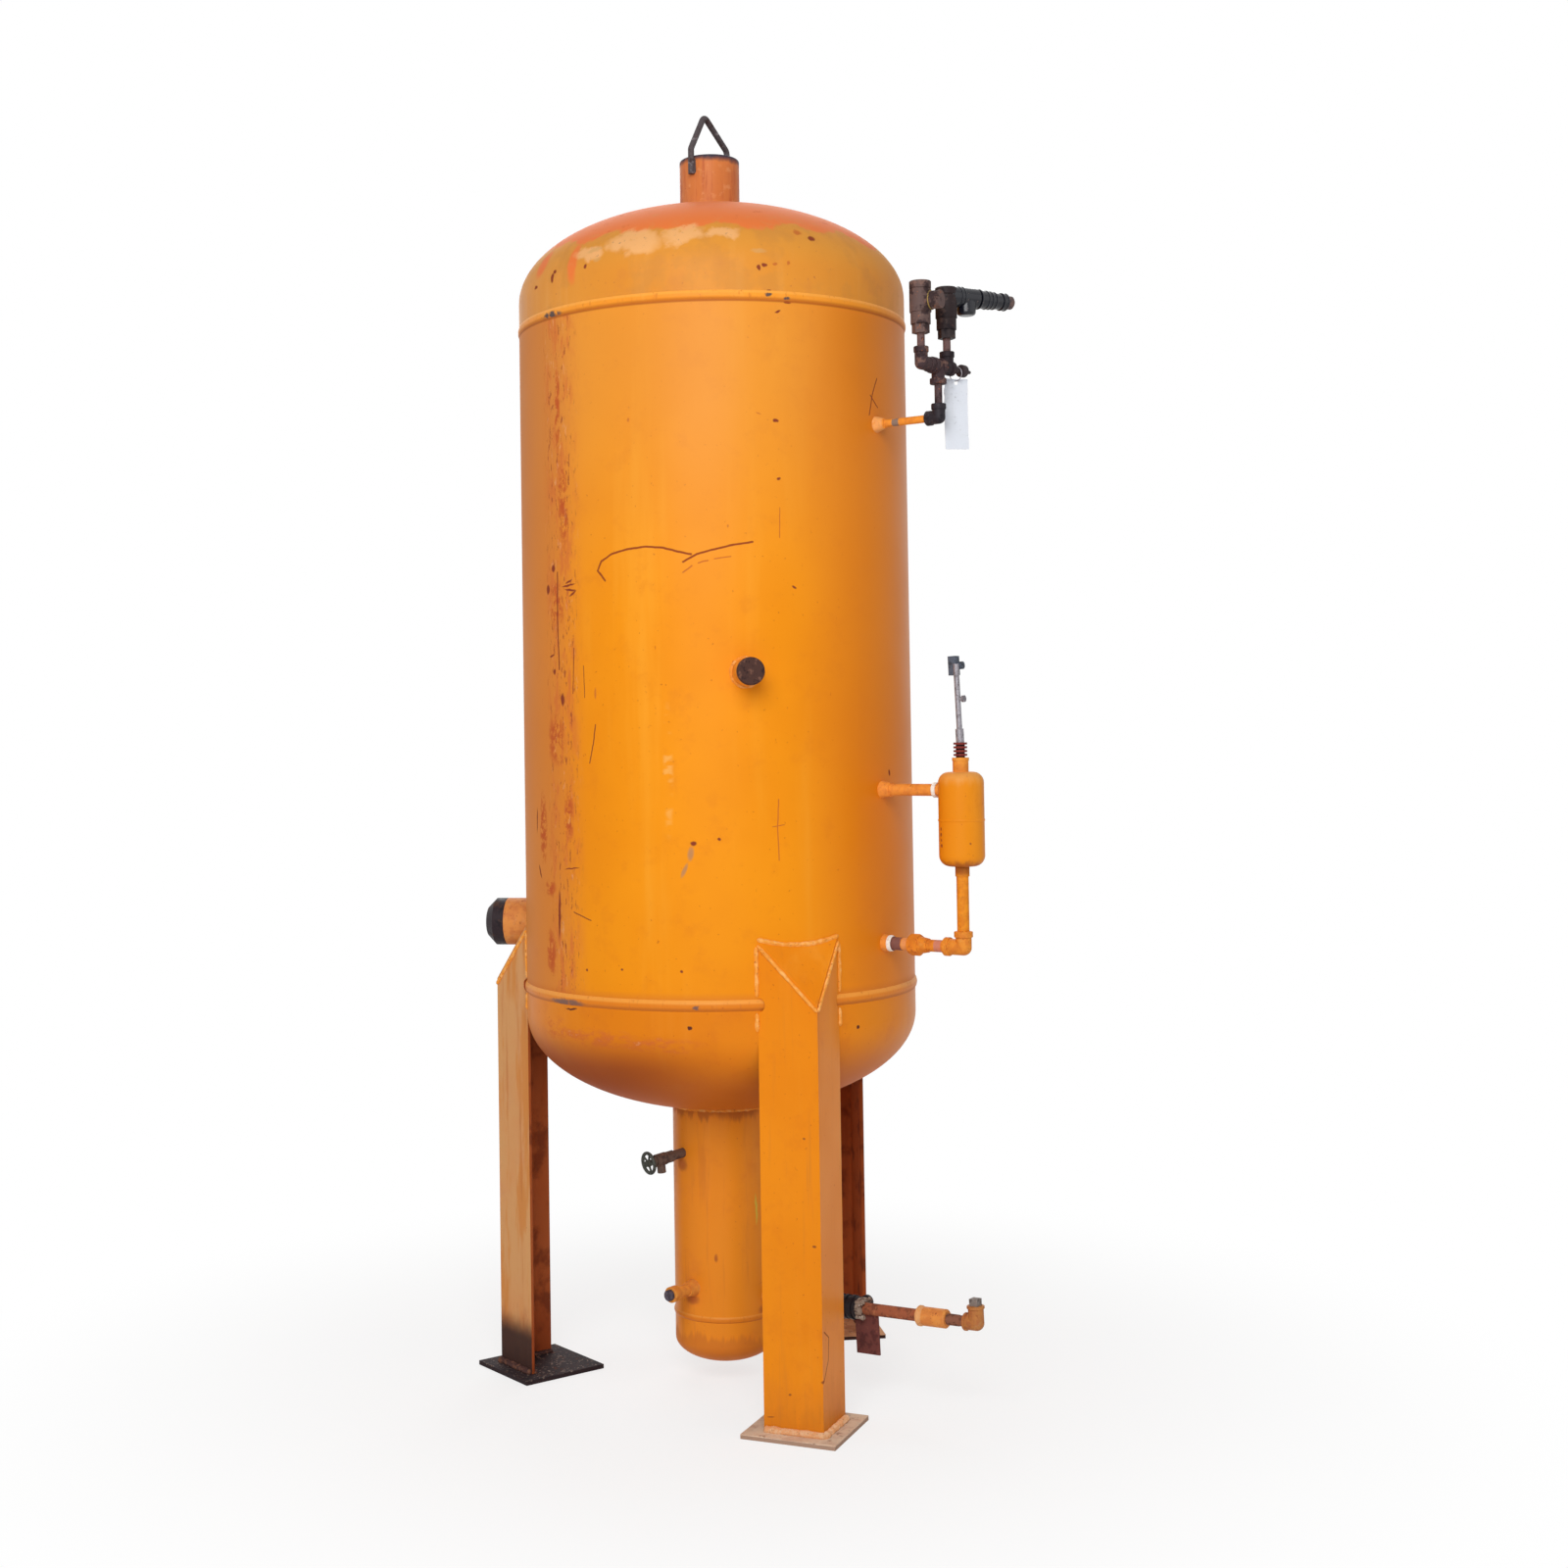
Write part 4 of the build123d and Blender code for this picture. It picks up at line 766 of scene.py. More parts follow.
def chamber_finish():
    """The level chamber: bright enamel, paler at its shoulder, browner at its foot, with rust spots."""
    skin = orange_enamel("chamber_paint", (232, 142, 24))
    centred = skin.vector_math("SUBTRACT", skin.place, level_direction(ARM_ANGLE) * CHAMBER_RHO)
    z = skin.axes()[2]
    marks = [
        ((-0.006, -0.0496, 1.2590), 0.0020), ((-0.0499, 0.001, 1.290), 0.0034),
        ((-0.0499, 0.002, 1.278), 0.0040), ((-0.0499, 0.001, 1.266), 0.0030),
        ((-0.0499, 0.000, 1.254), 0.0040), ((0.03, -0.040, 1.345), 0.0012),
    ]
    for place, size in marks:
        reach = skin.vector_math("DISTANCE", centred, place)
        ragged = skin.math("MULTIPLY_ADD", skin.grain(160.0, 4.0), 0.006, reach)
        skin.lay(skin.between(ragged, size + 0.0045, size + 0.001), (150, 74, 40), 0.8, -0.15)
    drawn = skin.grain(1.0, 4.0, 0.6, skin.stretched((90, 90, 20)))
    wavy = skin.math("MULTIPLY_ADD", drawn, 0.03, z)
    skin.lay(skin.between(wavy, CHAMBER_BOTTOM + 0.032, CHAMBER_BOTTOM + 0.016, 0.8), (172, 92, 34), 0.6)
    skin.lay(skin.between(wavy, CHAMBER_TOP - 0.019, CHAMBER_TOP + 0.011, 0.55), (232, 170, 96), 0.6)
    return skin


def riser_finish():
    """The pipe under the level chamber, with a painted shadow just below the chamber."""
    skin = fitting_paint("riser_paint", (230, 142, 36))
    z = skin.axes()[2]
    # Painted shadow of the chamber on the pipe just below it
    skin.lay(skin.between(z, CHAMBER_BOTTOM - 0.025, CHAMBER_BOTTOM - 0.012, 0.75), (156, 84, 34), 0.7)
    return skin


def gland_finish():
    """The gland: its neck is enamel, and the discs over it are dark red, with painted shade near black on
    the core between them.
    """
    skin = fitting_paint("gland_paint", (232, 150, 58))
    z = skin.axes()[2]
    upper = skin.between(z, GLAND_TOP + 0.0002, GLAND_TOP + 0.0006)
    skin.lay(upper, (122, 48, 42), 0.45)
    # Painted shade: the core between the discs is near black
    flat = skin.vector_math("MULTIPLY", skin.place, (1.0, 1.0, 0.0))
    out = skin.vector_math("DISTANCE", flat, level_direction(ARM_ANGLE) * CHAMBER_RHO)
    skin.lay(skin.both(upper, skin.between(out, 0.0125, 0.0110)), (44, 22, 26), 0.7)
    skin.lay(skin.both(upper, skin.between(skin.grain(120.0, 4.0), 0.52, 0.64, 0.7)), (62, 28, 30), 0.6)
    skin.lay(skin.both(upper, skin.between(skin.grain(140.0, 4.0), 0.64, 0.70, 0.7)), (170, 92, 66), 0.6)
    return skin


def tag_finish():
    """A bare white plastic tag: faint dirt in patches, and greyer along its top."""
    skin = Finish("tag_plastic", (216, 220, 228), 0.42)
    skin.lay(skin.between(skin.grain(40.0, 4.0), 0.50, 0.70, 0.6), (212, 216, 222), 0.55)
    skin.lay(skin.between(skin.grain(120.0, 4.0, 0.7), 0.60, 0.70, 0.6), (176, 178, 184), 0.6)
    high = skin.math("MULTIPLY_ADD", skin.grain(70.0, 4.0), 0.030, skin.axes()[2])
    top = MANIFOLD_Z + TAG_TOP
    skin.lay(skin.between(high, top + 0.0009, top + 0.0179, 0.6), (168, 172, 184), 0.6)
    skin.lay(skin.grain(26.0, 2.0), height=0.8)
    return skin


def bonnet_finish():
    """The relief bonnet: glossy blue-black enamel, chipped a little, and a brown cap at its end."""
    skin = Finish("bonnet_enamel", (16, 17, 26), 0.2, sheen=0.4)
    skin.lay(skin.between(skin.grain(40.0, 5.0), 0.54, 0.64, 0.6), (30, 32, 44), 0.26)
    skin.lay(skin.between(skin.grain(110.0, 5.0), 0.64, 0.70, 0.7), (84, 72, 70), 0.5, -0.1)
    beyond = skin.along(level_direction(BONNET_ANGLE), BONNET_CAP_REACH)
    cap = skin.between(beyond, 0.0, 0.001)
    skin.lay(cap, (92, 70, 66), 0.5)
    skin.lay(skin.both(cap, skin.between(skin.grain(80.0, 5.0), 0.50, 0.62, 0.8)), (52, 42, 46), 0.6)
    return skin


def bead_finish(name, colour, dark, pale):
    """Paint or scale on a weld bead, lighter on its ripples and darker in its hollows."""
    skin = Finish(name, colour, 0.55)
    skin.lay(skin.between(skin.grain(70.0, 4.0), 0.46, 0.62, 0.8), pale)
    skin.lay(skin.between(skin.grain(120.0, 4.0, 0.7), 0.56, 0.66, 0.8), dark, 0.75)
    skin.lay(skin.grain(300.0, 3.0), height=0.2)
    return skin


def leg_finishes():
    """The finish of each leg, by the leg's side."""
    sides = {
        "front": front_leg_finish(),
        "left": leg_finish("left_leg_paint", (212, 142, 82), tan=0.75, foot_rust=0.5, scorch=0.95),
        "right": leg_finish("right_leg_paint", (190, 104, 44), foot_rust=0.9),
    }
    return {f"{side}_leg": shade_and_rust_inside(skin, LEG_ANGLES[side]) for side, skin in sides.items()}


skins = {
    # The vessel, its neck, its boot and its legs
    "shell": shell_finish(),
    "top_head": top_head_finish(),
    "bottom_head": bottom_head_finish(),
    "top_girth_weld": weld_finish(
        "top_weld_paint", (240, 152, 46), SHELL_TOP,
        [(-163, 2.4575, 48, 9, 0), (-95.5, 2.464, 9, 5, 0), (-90.3, 2.457, 9, 5, 0)],
    ),
    "bottom_girth_weld": weld_finish(
        "bottom_weld_paint", (226, 132, 34), SHELL_BOTTOM,
        [(-160, 0.919, 72, 10, 0), (-118, 0.922, 12, 6, 0)], (128, 92, 78),
    ),
    "top_nozzle": neck_finish(),
    "boot": boot_finish(),
    "boot_weld": weld_finish("boot_weld_paint", (222, 128, 34), BOOT_WELD),
    **leg_finishes(),
    "front_base_plate": plate_finish(
        "front_plate_iron", (224, 198, 172), (202, 166, 142), (150, 112, 92), (170, 138, 118)
    ),
    "left_base_plate": plate_finish(
        "left_plate_iron", (50, 38, 40), (36, 28, 32), (92, 60, 50), (46, 34, 36)
    ),
    "right_base_plate": plate_finish(
        "right_plate_iron", (220, 166, 122), (186, 128, 92), (104, 66, 50), (64, 40, 34)
    ),

    # The painted fittings
    "level_chamber": chamber_finish(),
    "level_gland": gland_finish(),
    "level_riser": riser_finish(),
    "relief_pipe": fitting_paint(
        "relief_pipe_paint", (236, 150, 56),
        [(0.440, 0.478, PALE_TAN, 0.3), (0.502, 0.519, TAPE_GREY, 0.95)],
    ),
    "level_upper_tap": fitting_paint(
        "upper_tap_paint", (236, 150, 62), [(0.592, 0.600, TAPE_WHITE, 1.0)]
    ),
    "level_lower_tap": fitting_paint(
        "lower_tap_paint", (232, 146, 60),
        [(0.4705, 0.480, TAPE_WHITE, 1.0), (0.480, 0.505, MAUVE, 0.95), (0.507, 0.520, PEACH, 0.4)],
    ),
    "level_union": fitting_paint(
        "union_paint", (228, 138, 44), [(0.590, 0.607, (200, 132, 118), 0.8)]
    ),
    "level_lower_elbow": fitting_paint("lower_elbow_paint", (228, 142, 50), rust=0.7),
    "drain_coupling": fitting_paint(
        "coupling_paint", (228, 150, 74), [(0.530, 0.545, PALE_TAN, 0.45)], 0.9
    ),
    "drain_elbow": fitting_paint("drain_elbow_paint", (186, 122, 66), rust=0.9),
    "drain_tap": fitting_paint("drain_tap_paint", (224, 138, 52)),
    "boot_stub": fitting_paint("boot_stub_paint", (230, 150, 62)),
    "side_nozzle": fitting_paint("side_nozzle_paint", (216, 140, 70), rust=0.7),
    "front_nozzle": fitting_paint("front_nozzle_paint", (234, 148, 44)),

    # The plugs, caps and valves of bare or old painted iron
    "side_nozzle_cap": iron(
        "side_cap_iron", (46, 36, 40),
        [((76, 54, 44), 20.0, 0.54, 0.8), ((28, 24, 28), 46.0, 0.52, 0.7)], 0.42,
    ),
    "front_nozzle_plug": iron(
        "front_plug_iron", (72, 48, 42),
        [((120, 84, 70), 60.0, 0.54, 0.8), ((40, 28, 30), 90.0, 0.54, 0.8)], 0.7,
    ),
    "top_nozzle_plug": iron(
        "neck_plug_iron", (86, 66, 60),
        [((130, 88, 66), 40.0, 0.52, 0.8), ((50, 42, 44), 60.0, 0.54, 0.8)], 0.7,
    ),
    "lifting_loop": iron(
        "loop_steel", (84, 76, 78),
        [
            ((150, 142, 146), 50.0, 0.56, 0.7), ((60, 44, 42), 40.0, 0.52, 0.8),
            ((132, 80, 58), 90.0, 0.62, 0.6),
        ],
        0.5,
    ),
    "relief_elbow": iron(
        "relief_elbow_iron", (44, 39, 44),
        [((74, 67, 70), 46.0, 0.52, 0.8), ((30, 28, 32), 60.0, 0.54, 0.8)], 0.5,
    ),
    "manifold_upper_tee": iron(
        "upper_tee_iron", (42, 32, 36),
        [((84, 68, 68), 60.0, 0.56, 0.7), ((28, 24, 28), 46.0, 0.54, 0.8)],
    ),
    "relief_riser": iron("riser_iron", (80, 62, 64), RUSTY_TONES, 0.6),
    "manifold_elbow": iron("manifold_elbow_iron", (66, 50, 52), RUSTY_TONES, 0.6),
    "manifold_lower_tee": iron("lower_tee_iron", (62, 47, 50), RUSTY_TONES, 0.6),
    "relief_nipples": iron("nipples_iron", (104, 78, 76), RUSTY_TONES, 0.6),
    "left_relief_valve": iron("left_valve_iron", (96, 76, 72), RUSTY_TONES),
    "right_relief_valve": iron(
        "right_valve_iron", (44, 34, 35),
        [
            ((84, 68, 64), 60.0, 0.56, 0.7), ((32, 26, 30), 40.0, 0.52, 0.8),
            ((140, 96, 74), 110.0, 0.64, 0.6),
        ],
        0.5,
    ),
    "relief_bonnet": bonnet_finish(),
    "bleed_cock": iron(
        "bleed_cock_iron", (58, 48, 50),
        [((98, 82, 80), 60.0, 0.56, 0.7), ((34, 28, 30), 50.0, 0.52, 0.8)], 0.5,
    ),
    "level_rod": iron(
        "rod_steel", (150, 146, 152),
        [
            ((112, 106, 110), 60.0, 0.50, 0.8), ((186, 184, 190), 36.0, 0.58, 0.7),
            ((112, 84, 76), 120.0, 0.64, 0.5),
        ],
        0.4, metallic=0.35, pitted=0.05,
    ),
    "level_rod_clamp": iron(
        "clamp_iron", (86, 92, 104),
        [((58, 58, 62), 70.0, 0.50, 0.8), ((122, 132, 150), 90.0, 0.60, 0.6)], 0.5,
    ),
    "gauge_valve": iron(
        "gauge_valve_iron", (104, 84, 74),
        [((66, 54, 54), 60.0, 0.50, 0.8), ((152, 108, 78), 90.0, 0.60, 0.7)],
    ),
    "gauge_handwheel": iron(
        "handwheel_iron", (76, 78, 72),
        [((50, 50, 50), 60.0, 0.50, 0.8), ((118, 112, 104), 110.0, 0.62, 0.7)], 0.5,
    ),
    "boot_stub_plug": iron(
        "stub_plug_steel", (86, 78, 88),
        [((58, 50, 58), 70.0, 0.50, 0.8), ((128, 104, 98), 110.0, 0.60, 0.6)], 0.5,
    ),
    "drain_plug": iron(
        "drain_plug_steel", (134, 124, 118),
        [((92, 80, 76), 70.0, 0.50, 0.8), ((170, 162, 156), 110.0, 0.60, 0.6)], 0.5,
    ),
    "drain_valve": iron(
        "drain_valve_iron", (40, 34, 38),
        [((78, 62, 58), 50.0, 0.56, 0.7), ((24, 22, 26), 60.0, 0.52, 0.8)], 0.45,
    ),
    "drain_valve_end": iron(
        "valve_end_steel", (164, 144, 128),
        [((92, 66, 58), 70.0, 0.48, 0.85), ((222, 212, 200), 90.0, 0.58, 0.8)], 0.5,
    ),
    "drain_plate": iron(
        "hanging_plate_iron", (112, 62, 56),
        [
            ((84, 46, 44), 36.0, 0.50, 0.8), ((150, 92, 74), 60.0, 0.58, 0.7),
            ((196, 160, 138), 120.0, 0.68, 0.6),
        ],
        0.65,
    ),
    "drain_pipe": iron(
        "drain_pipe_iron", (160, 92, 64),
        [
            ((112, 66, 50), 46.0, 0.50, 0.8), ((190, 122, 82), 70.0, 0.58, 0.7),
            ((70, 46, 42), 110.0, 0.64, 0.7),
        ],
        0.7,
    ),
    "drain_nipple": iron(
        "drain_nipple_iron", (140, 92, 72),
        [((96, 62, 50), 70.0, 0.50, 0.8), ((184, 128, 96), 100.0, 0.60, 0.7)], 0.7,
    ),

    # The tag, and the finishes that only added pieces have
    "relief_tag": tag_finish(),
    "white_tape": iron(
        "white_tape", TAPE_WHITE,
        [((206, 196, 186), 90.0, 0.52, 0.7), ((176, 140, 120), 140.0, 0.66, 0.6)], 0.5,
    ),
    "brass_ring": iron(
        "worn_brass", (156, 130, 72),
        [((96, 76, 54), 90.0, 0.50, 0.85), ((206, 184, 122), 120.0, 0.62, 0.7)],
        0.4, metallic=0.5, pitted=0.1,
    ),
    "leg_weld": bead_finish("leg_weld_paint", (238, 156, 62), (184, 98, 40), (246, 184, 106)),
    "neck_weld": bead_finish("neck_weld_paint", (232, 146, 78), (176, 84, 48), (244, 190, 128)),
    "nozzle_weld": bead_finish("nozzle_weld_paint", (236, 150, 56), (160, 84, 44), (240, 178, 104)),
    "front_foot_weld": bead_finish("front_foot_scale", (226, 166, 116), (186, 126, 84), (232, 190, 150)),
    "left_foot_weld": bead_finish("left_foot_scale", (74, 48, 44), (40, 28, 30), (120, 80, 62)),
    "right_foot_weld": bead_finish("right_foot_scale", (104, 70, 54), (62, 38, 32), (146, 106, 84)),
}
finishes = {name: skin.done() for name, skin in skins.items()}
finishes["boot_cap"] = finishes["boot"]
for side in LEG_ANGLES:
    finishes[f"{side}_leg_lid"] = finishes[f"{side}_leg"]
for name, node in nodes.items():
    for slot_number in range(len(node.data.materials)):
        node.data.materials[slot_number] = finishes[name]


# The added pieces


def turned(angle, axis="Z"):
    """A turn about an axis, in degrees."""
    return Matrix.Rotation(math.radians(angle), 4, axis)


def moved(x, y, z):
    """A move, in metres."""
    return Matrix.Translation((x, y, z))


def out_from(angle, x, z):
    """The place of a piece whose own Z points straight out from the vessel, at a height."""
    return turned(angle) @ moved(x, 0, z) @ turned(90, "Y")


ON_MANIFOLD = turned(ARM_ANGLE) @ moved(RELIEF_RHO, 0, MANIFOLD_Z) @ turned(MANIFOLD_TURN)
ON_DRAIN = turned(ARM_ANGLE) @ moved(BOOT_RADIUS, 0, DRAIN_Z) @ turned(-DRAIN_TILT, "Y")
ON_GAUGE = turned(GAUGE_ANGLE) @ moved(BOOT_RADIUS, 0, GAUGE_Z) @ turned(GAUGE_TILT, "Y")


def join(shapes):
    """Several shapes as one."""
    whole = bmesh.new()
    for shape in shapes:
        mesh = bpy.data.meshes.new("joined")
        shape.to_mesh(mesh)
        shape.free()
        whole.from_mesh(mesh)
        bpy.data.meshes.remove(mesh)
    return whole


def make_piece(name, shape, material, body="tank", stands_for=None):
    """Close a finished shape, give it its finish, hang it on a body of the model and hide any part that it
    stands for.
    """
    bmesh.ops.remove_doubles(shape, verts=shape.verts, dist=0.00001)
    bmesh.ops.recalc_face_normals(shape, faces=shape.faces)
    for face in shape.faces:
        face.smooth = True
    mesh = bpy.data.meshes.new(name)
    shape.to_mesh(mesh)
    shape.free()
    mesh.set_sharp_from_angle(angle=SHARP_ANGLE)
    mesh.materials.append(material)
    piece = bpy.data.objects.new(name, mesh)
    bpy.context.scene.collection.objects.link(piece)
    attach(piece, body)
    if stands_for:
        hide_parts(stands_for)


def ring(ring_radius, bar_radius, place, steps=64, sides=10, uneven=0.0, on_radius=None):
    """A round bar bent into a ring about its own Z, where asked uneven as a weld or draped on a wall."""
    shape = bmesh.new()
    across = moved(ring_radius, 0, 0) @ turned(90, "X")
    bmesh.ops.create_circle(shape, segments=sides, radius=bar_radius, matrix=across)
    start = [*shape.verts, *shape.edges]
    bmesh.ops.spin(
        shape, geom=start, cent=(0, 0, 0), axis=(0, 0, 1), angle=math.tau, steps=steps, use_merge=True
    )
    for vertex in shape.verts:
        turn = math.atan2(vertex.co.y, vertex.co.x)
        middle = Vector((math.cos(turn), math.sin(turn), 0)) * ring_radius
        if uneven:
            ripple = 0.5 * math.sin(turn * math.tau * ring_radius / RIPPLE)
            swell = 1 + uneven * (ripple + noise.noise(middle * 90))
            vertex.co = middle + (vertex.co - middle) * swell
        if on_radius:
            vertex.co.z += math.sqrt(on_radius**2 - vertex.co.y**2)
    bmesh.ops.transform(shape, matrix=place, verts=shape.verts)
    return shape


def weld_ring(ring_radius, bead, place, on_radius=None):
    """A weld bead right round a pipe."""
    steps = int(math.tau * ring_radius / RIPPLE * 3)
    return ring(ring_radius, bead, place, steps, 8, 0.28, on_radius)


def weld_line(place, points, bead):
    """A weld bead laid through points, rippled, swelling and shrinking, and tapered at both ends."""
    path = []
    for start, end in zip(points, points[1:]):
        start, end = Vector(start), Vector(end)
        count = max(1, round((end - start).length / RIPPLE * 2))
        path += [start.lerp(end, number / count) for number in range(count)]
    path.append(Vector(points[-1]))
    shape = bmesh.new()
    heading = (path[1] - path[0]).normalized()
    across = Matrix.Translation(path[0]) @ heading.to_track_quat("Z", "Y").to_matrix().to_4x4()
    bmesh.ops.create_circle(shape, cap_ends=True, segments=8, radius=bead * 0.4, matrix=across)
    size = 0.4
    end_face = shape.faces[:]
    for number, (here, there) in enumerate(zip(path, path[1:]), 1):
        grown = bmesh.ops.extrude_face_region(shape, geom=end_face)["geom"]
        corners = [item for item in grown if isinstance(item, bmesh.types.BMVert)]
        end_face = [item for item in grown if isinstance(item, bmesh.types.BMFace)]
        bmesh.ops.translate(shape, verts=corners, vec=there - here)
        next_heading = (there - here).normalized()
        bend = heading.rotation_difference(next_heading).to_matrix()
        bmesh.ops.rotate(shape, verts=corners, cent=there, matrix=bend)
        heading = next_heading
        from_end = min(number, len(path) - 1 - number)
        taper = min(1.0, 0.4 + 0.25 * from_end)
        swell = taper * (1 + 0.12 * (number % 2) + 0.3 * noise.noise(there * 80))
        bmesh.ops.scale(
            shape, verts=corners, vec=Vector((1, 1, 1)) * (swell / size), space=Matrix.Translation(-there)
        )
        size = swell
    bmesh.ops.transform(shape, matrix=place, verts=shape.verts)
    return shape


def thread(radius, length, pitch, place):
    """The raised thread on a pipe end, along its own Z: a three-sided bar wound into a helix."""
    shape = bmesh.new()
    across = moved(radius, 0, 0) @ turned(90, "X")
    bmesh.ops.create_circle(shape, segments=3, radius=pitch * 0.55, matrix=across)
    turns = length / pitch
    steps = int(turns * 24)
    bmesh.ops.spin(
        shape, geom=[*shape.verts, *shape.edges], cent=(0, 0, 0), axis=(0, 0, 1),
        angle=math.tau * turns, steps=steps, dvec=(0, 0, length / steps),
    )
    bmesh.ops.holes_fill(shape, edges=[edge for edge in shape.edges if edge.is_boundary])
    bmesh.ops.transform(shape, matrix=place, verts=shape.verts)
    return shape


def hex_head(across_corners, height, place, stub=0.0):
    """A hexagonal bolt head or nut standing on its own Z, its corners rounded off, and the bolt's end."""
    shape = bmesh.new()
    radius = across_corners / 2
    bmesh.ops.create_cone(
        shape, cap_ends=True, segments=6, radius1=radius, radius2=radius, depth=height,
        matrix=moved(0, 0, height / 2),
    )
    bmesh.ops.bevel(
        shape, geom=shape.edges[:], offset=height * 0.16, offset_type="OFFSET", segments=2, profile=0.5,
        affect="EDGES", material=-1,
    )
    parts = [shape]
    if stub:
        end = bmesh.new()
        bmesh.ops.create_cone(
            end, cap_ends=True, segments=20, radius1=radius * 0.52, radius2=radius * 0.46, depth=stub,
            matrix=moved(0, 0, height + stub / 2 - 0.0002),
        )
        parts.append(end)
    shape = join(parts)
    bmesh.ops.transform(shape, matrix=place, verts=shape.verts)
    return shape


def small_bar(radius, length, place):
    """A short round bar along its own Z with both ends rounded over."""
    shape = bmesh.new()
    bmesh.ops.create_cone(
        shape, cap_ends=True, segments=24, radius1=radius, radius2=radius, depth=length,
        matrix=moved(0, 0, length / 2),
    )
    ends = [edge for edge in shape.edges if abs(edge.verts[0].co.z - edge.verts[1].co.z) < length / 2]
    bmesh.ops.bevel(
        shape, geom=ends, offset=radius * 0.3, offset_type="OFFSET", segments=3, profile=0.5,
        affect="EDGES", material=-1,
    )
    bmesh.ops.transform(shape, matrix=place, verts=shape.verts)
    return shape


def leg_welds(side, angle):
    """The welds of a leg: its toes and its lid to the shell, the lid's edges, its foot on the plate."""
    place = turned(angle)
    slope = math.radians(LID_SLOPE)
    lid_top = HEEL_RHO * math.sin(slope) + LID_HEEL * math.cos(slope)
    rise = LEG_DIAGONAL * math.tan(slope)
    joint = LID_HEEL - LID_THICKNESS / math.cos(slope)
    lines = []
    for way in (-1, 1):
        toe = Vector((PLATE_RHO - 0.0005, way * (LEG_DIAGONAL + 0.002), 0))
        below_seam = (BOTTOM_FLANGE + 0.009, SHELL_BOTTOM - 0.017)
        above_seam = (SHELL_BOTTOM + 0.018, joint + rise - 0.004)
        for low, high in (below_seam, above_seam):
            lines.append(weld_line(place, [toe + Vector((0, 0, low)), toe + Vector((0, 0, high))], 0.0045))
        lid_heel = (HEEL_RHO + 0.0008, way * 0.001, joint)
        lid_end = (PLATE_RHO + WELD_RISE, way * LEG_DIAGONAL, joint + rise)
        lines.append(weld_line(place, [lid_heel, lid_end], 0.0038))
    # The left lid ends under the side nozzle, which has its own weld
    if side != "left":
        reach = math.asin(LEG_DIAGONAL / SHELL_RADIUS)
        arc = []
        for share in range(-6, 7):
            turn = reach * share / 6
            x = (SHELL_RADIUS + WELD_RISE) * math.cos(turn)
            y = (SHELL_RADIUS + WELD_RISE) * math.sin(turn)
            arc.append((x, y, (lid_top - x * math.sin(slope)) / math.cos(slope)))
        lines.append(weld_line(place, arc, 0.005))
    make_piece(f"{side}_leg_weld", join(lines), finishes["leg_weld"])

    inner = LEG_THICKNESS / math.sqrt(2)
    outside = []
    inside = []
    for way in (-1, 0, 1):
        spread = way * LEG_DIAGONAL
        rho = PLATE_RHO if way else HEEL_RHO
        outside.append((rho + 0.003, spread + way * 0.002, PLATE_TOP + 0.003))
        deep = inner if way else 2 * inner
        inside.append((rho - deep - 0.002, spread - way * inner, PLATE_TOP + 0.002))
    foot = join([weld_line(place, outside, 0.0085), weld_line(place, inside, 0.006)])
    make_piece(f"{side}_foot_weld", foot, finishes[f"{side}_foot_weld"])


for side, angle in LEG_ANGLES.items():
    leg_welds(side, angle)

# The welds at the neck's and boot's ends, round the nozzles, and at the lifting bar
neck_foot = moved(0, 0, TOP_FLANGE + head_height(NECK_RADIUS))
neck_weld = weld_ring(NECK_RADIUS + WELD_RISE, 0.0058, neck_foot)
make_piece("neck_weld", neck_weld, finishes["neck_weld"])
boot_head = moved(0, 0, BOTTOM_FLANGE - head_height(BOOT_RADIUS))
boot_head_weld = weld_ring(BOOT_RADIUS + WELD_RISE, 0.0062, boot_head)
make_piece("boot_head_weld", boot_head_weld, finishes["nozzle_weld"])
for name, angle, z, radius, bead in (
    ("side_nozzle_weld", SIDE_NOZZLE_ANGLE, SIDE_NOZZLE_Z, SIDE_NOZZLE_RADIUS, 0.006),
    ("front_nozzle_weld", FRONT_NOZZLE_ANGLE, FRONT_NOZZLE_Z, FRONT_NOZZLE_RADIUS, 0.0048),
):
    weld = weld_ring(radius + 0.0005, bead, out_from(angle, 0, z), SHELL_RADIUS)
    make_piece(name, weld, finishes["nozzle_weld"])

bar_reach = NECK_RADIUS + 0.0008
loop_welds = []
for way in (-1, 1):
    for offset in (-0.0052, 0.0052):
        low = (way * bar_reach, offset, NECK_TOP - 0.044)
        high = (way * bar_reach, offset, NECK_TOP - 0.010)
        loop_welds.append(weld_line(turned(LOOP_ANGLE), [low, high], 0.0032))
make_piece("loop_weld", join(loop_welds), finishes["lifting_loop"])
plug_edge = ring(0.0565, 0.003, moved(0, 0, NECK_TOP - 0.006), 180, 8, 0.25)
make_piece("neck_plug_weld", plug_edge, finishes["top_nozzle_plug"])


def tape(turns, bar_radius, z):
    """Turns of tape round a tap at a height, each how far out it lies and its radius."""
    rings = []
    for rho, radius in turns:
        rings.append(ring(radius, bar_radius, out_from(ARM_ANGLE, rho, z), 48, 8, 0.3))
    return join(rings)


# The taps' tapes, and the lower tap's thread
lower_turns = [(0.4722, 0.0168), (0.4746, 0.0165), (0.4770, 0.0160), (0.4792, 0.0152)]
upper_turns = [(rho, 0.0158) for rho in (0.5930, 0.5952, 0.5974, 0.5996)]
make_piece("lower_tap_tape", tape(lower_turns, 0.0016, LOWER_TAP_Z), finishes["white_tape"])
tap_thread = thread(PIPE_RADIUS, 0.022, 0.0019, out_from(ARM_ANGLE, 0.484, LOWER_TAP_Z))
make_piece("lower_tap_thread", tap_thread, finishes["level_lower_tap"])
make_piece("upper_tap_tape", tape(upper_turns, 0.0014, UPPER_TAP_Z), finishes["white_tape"])

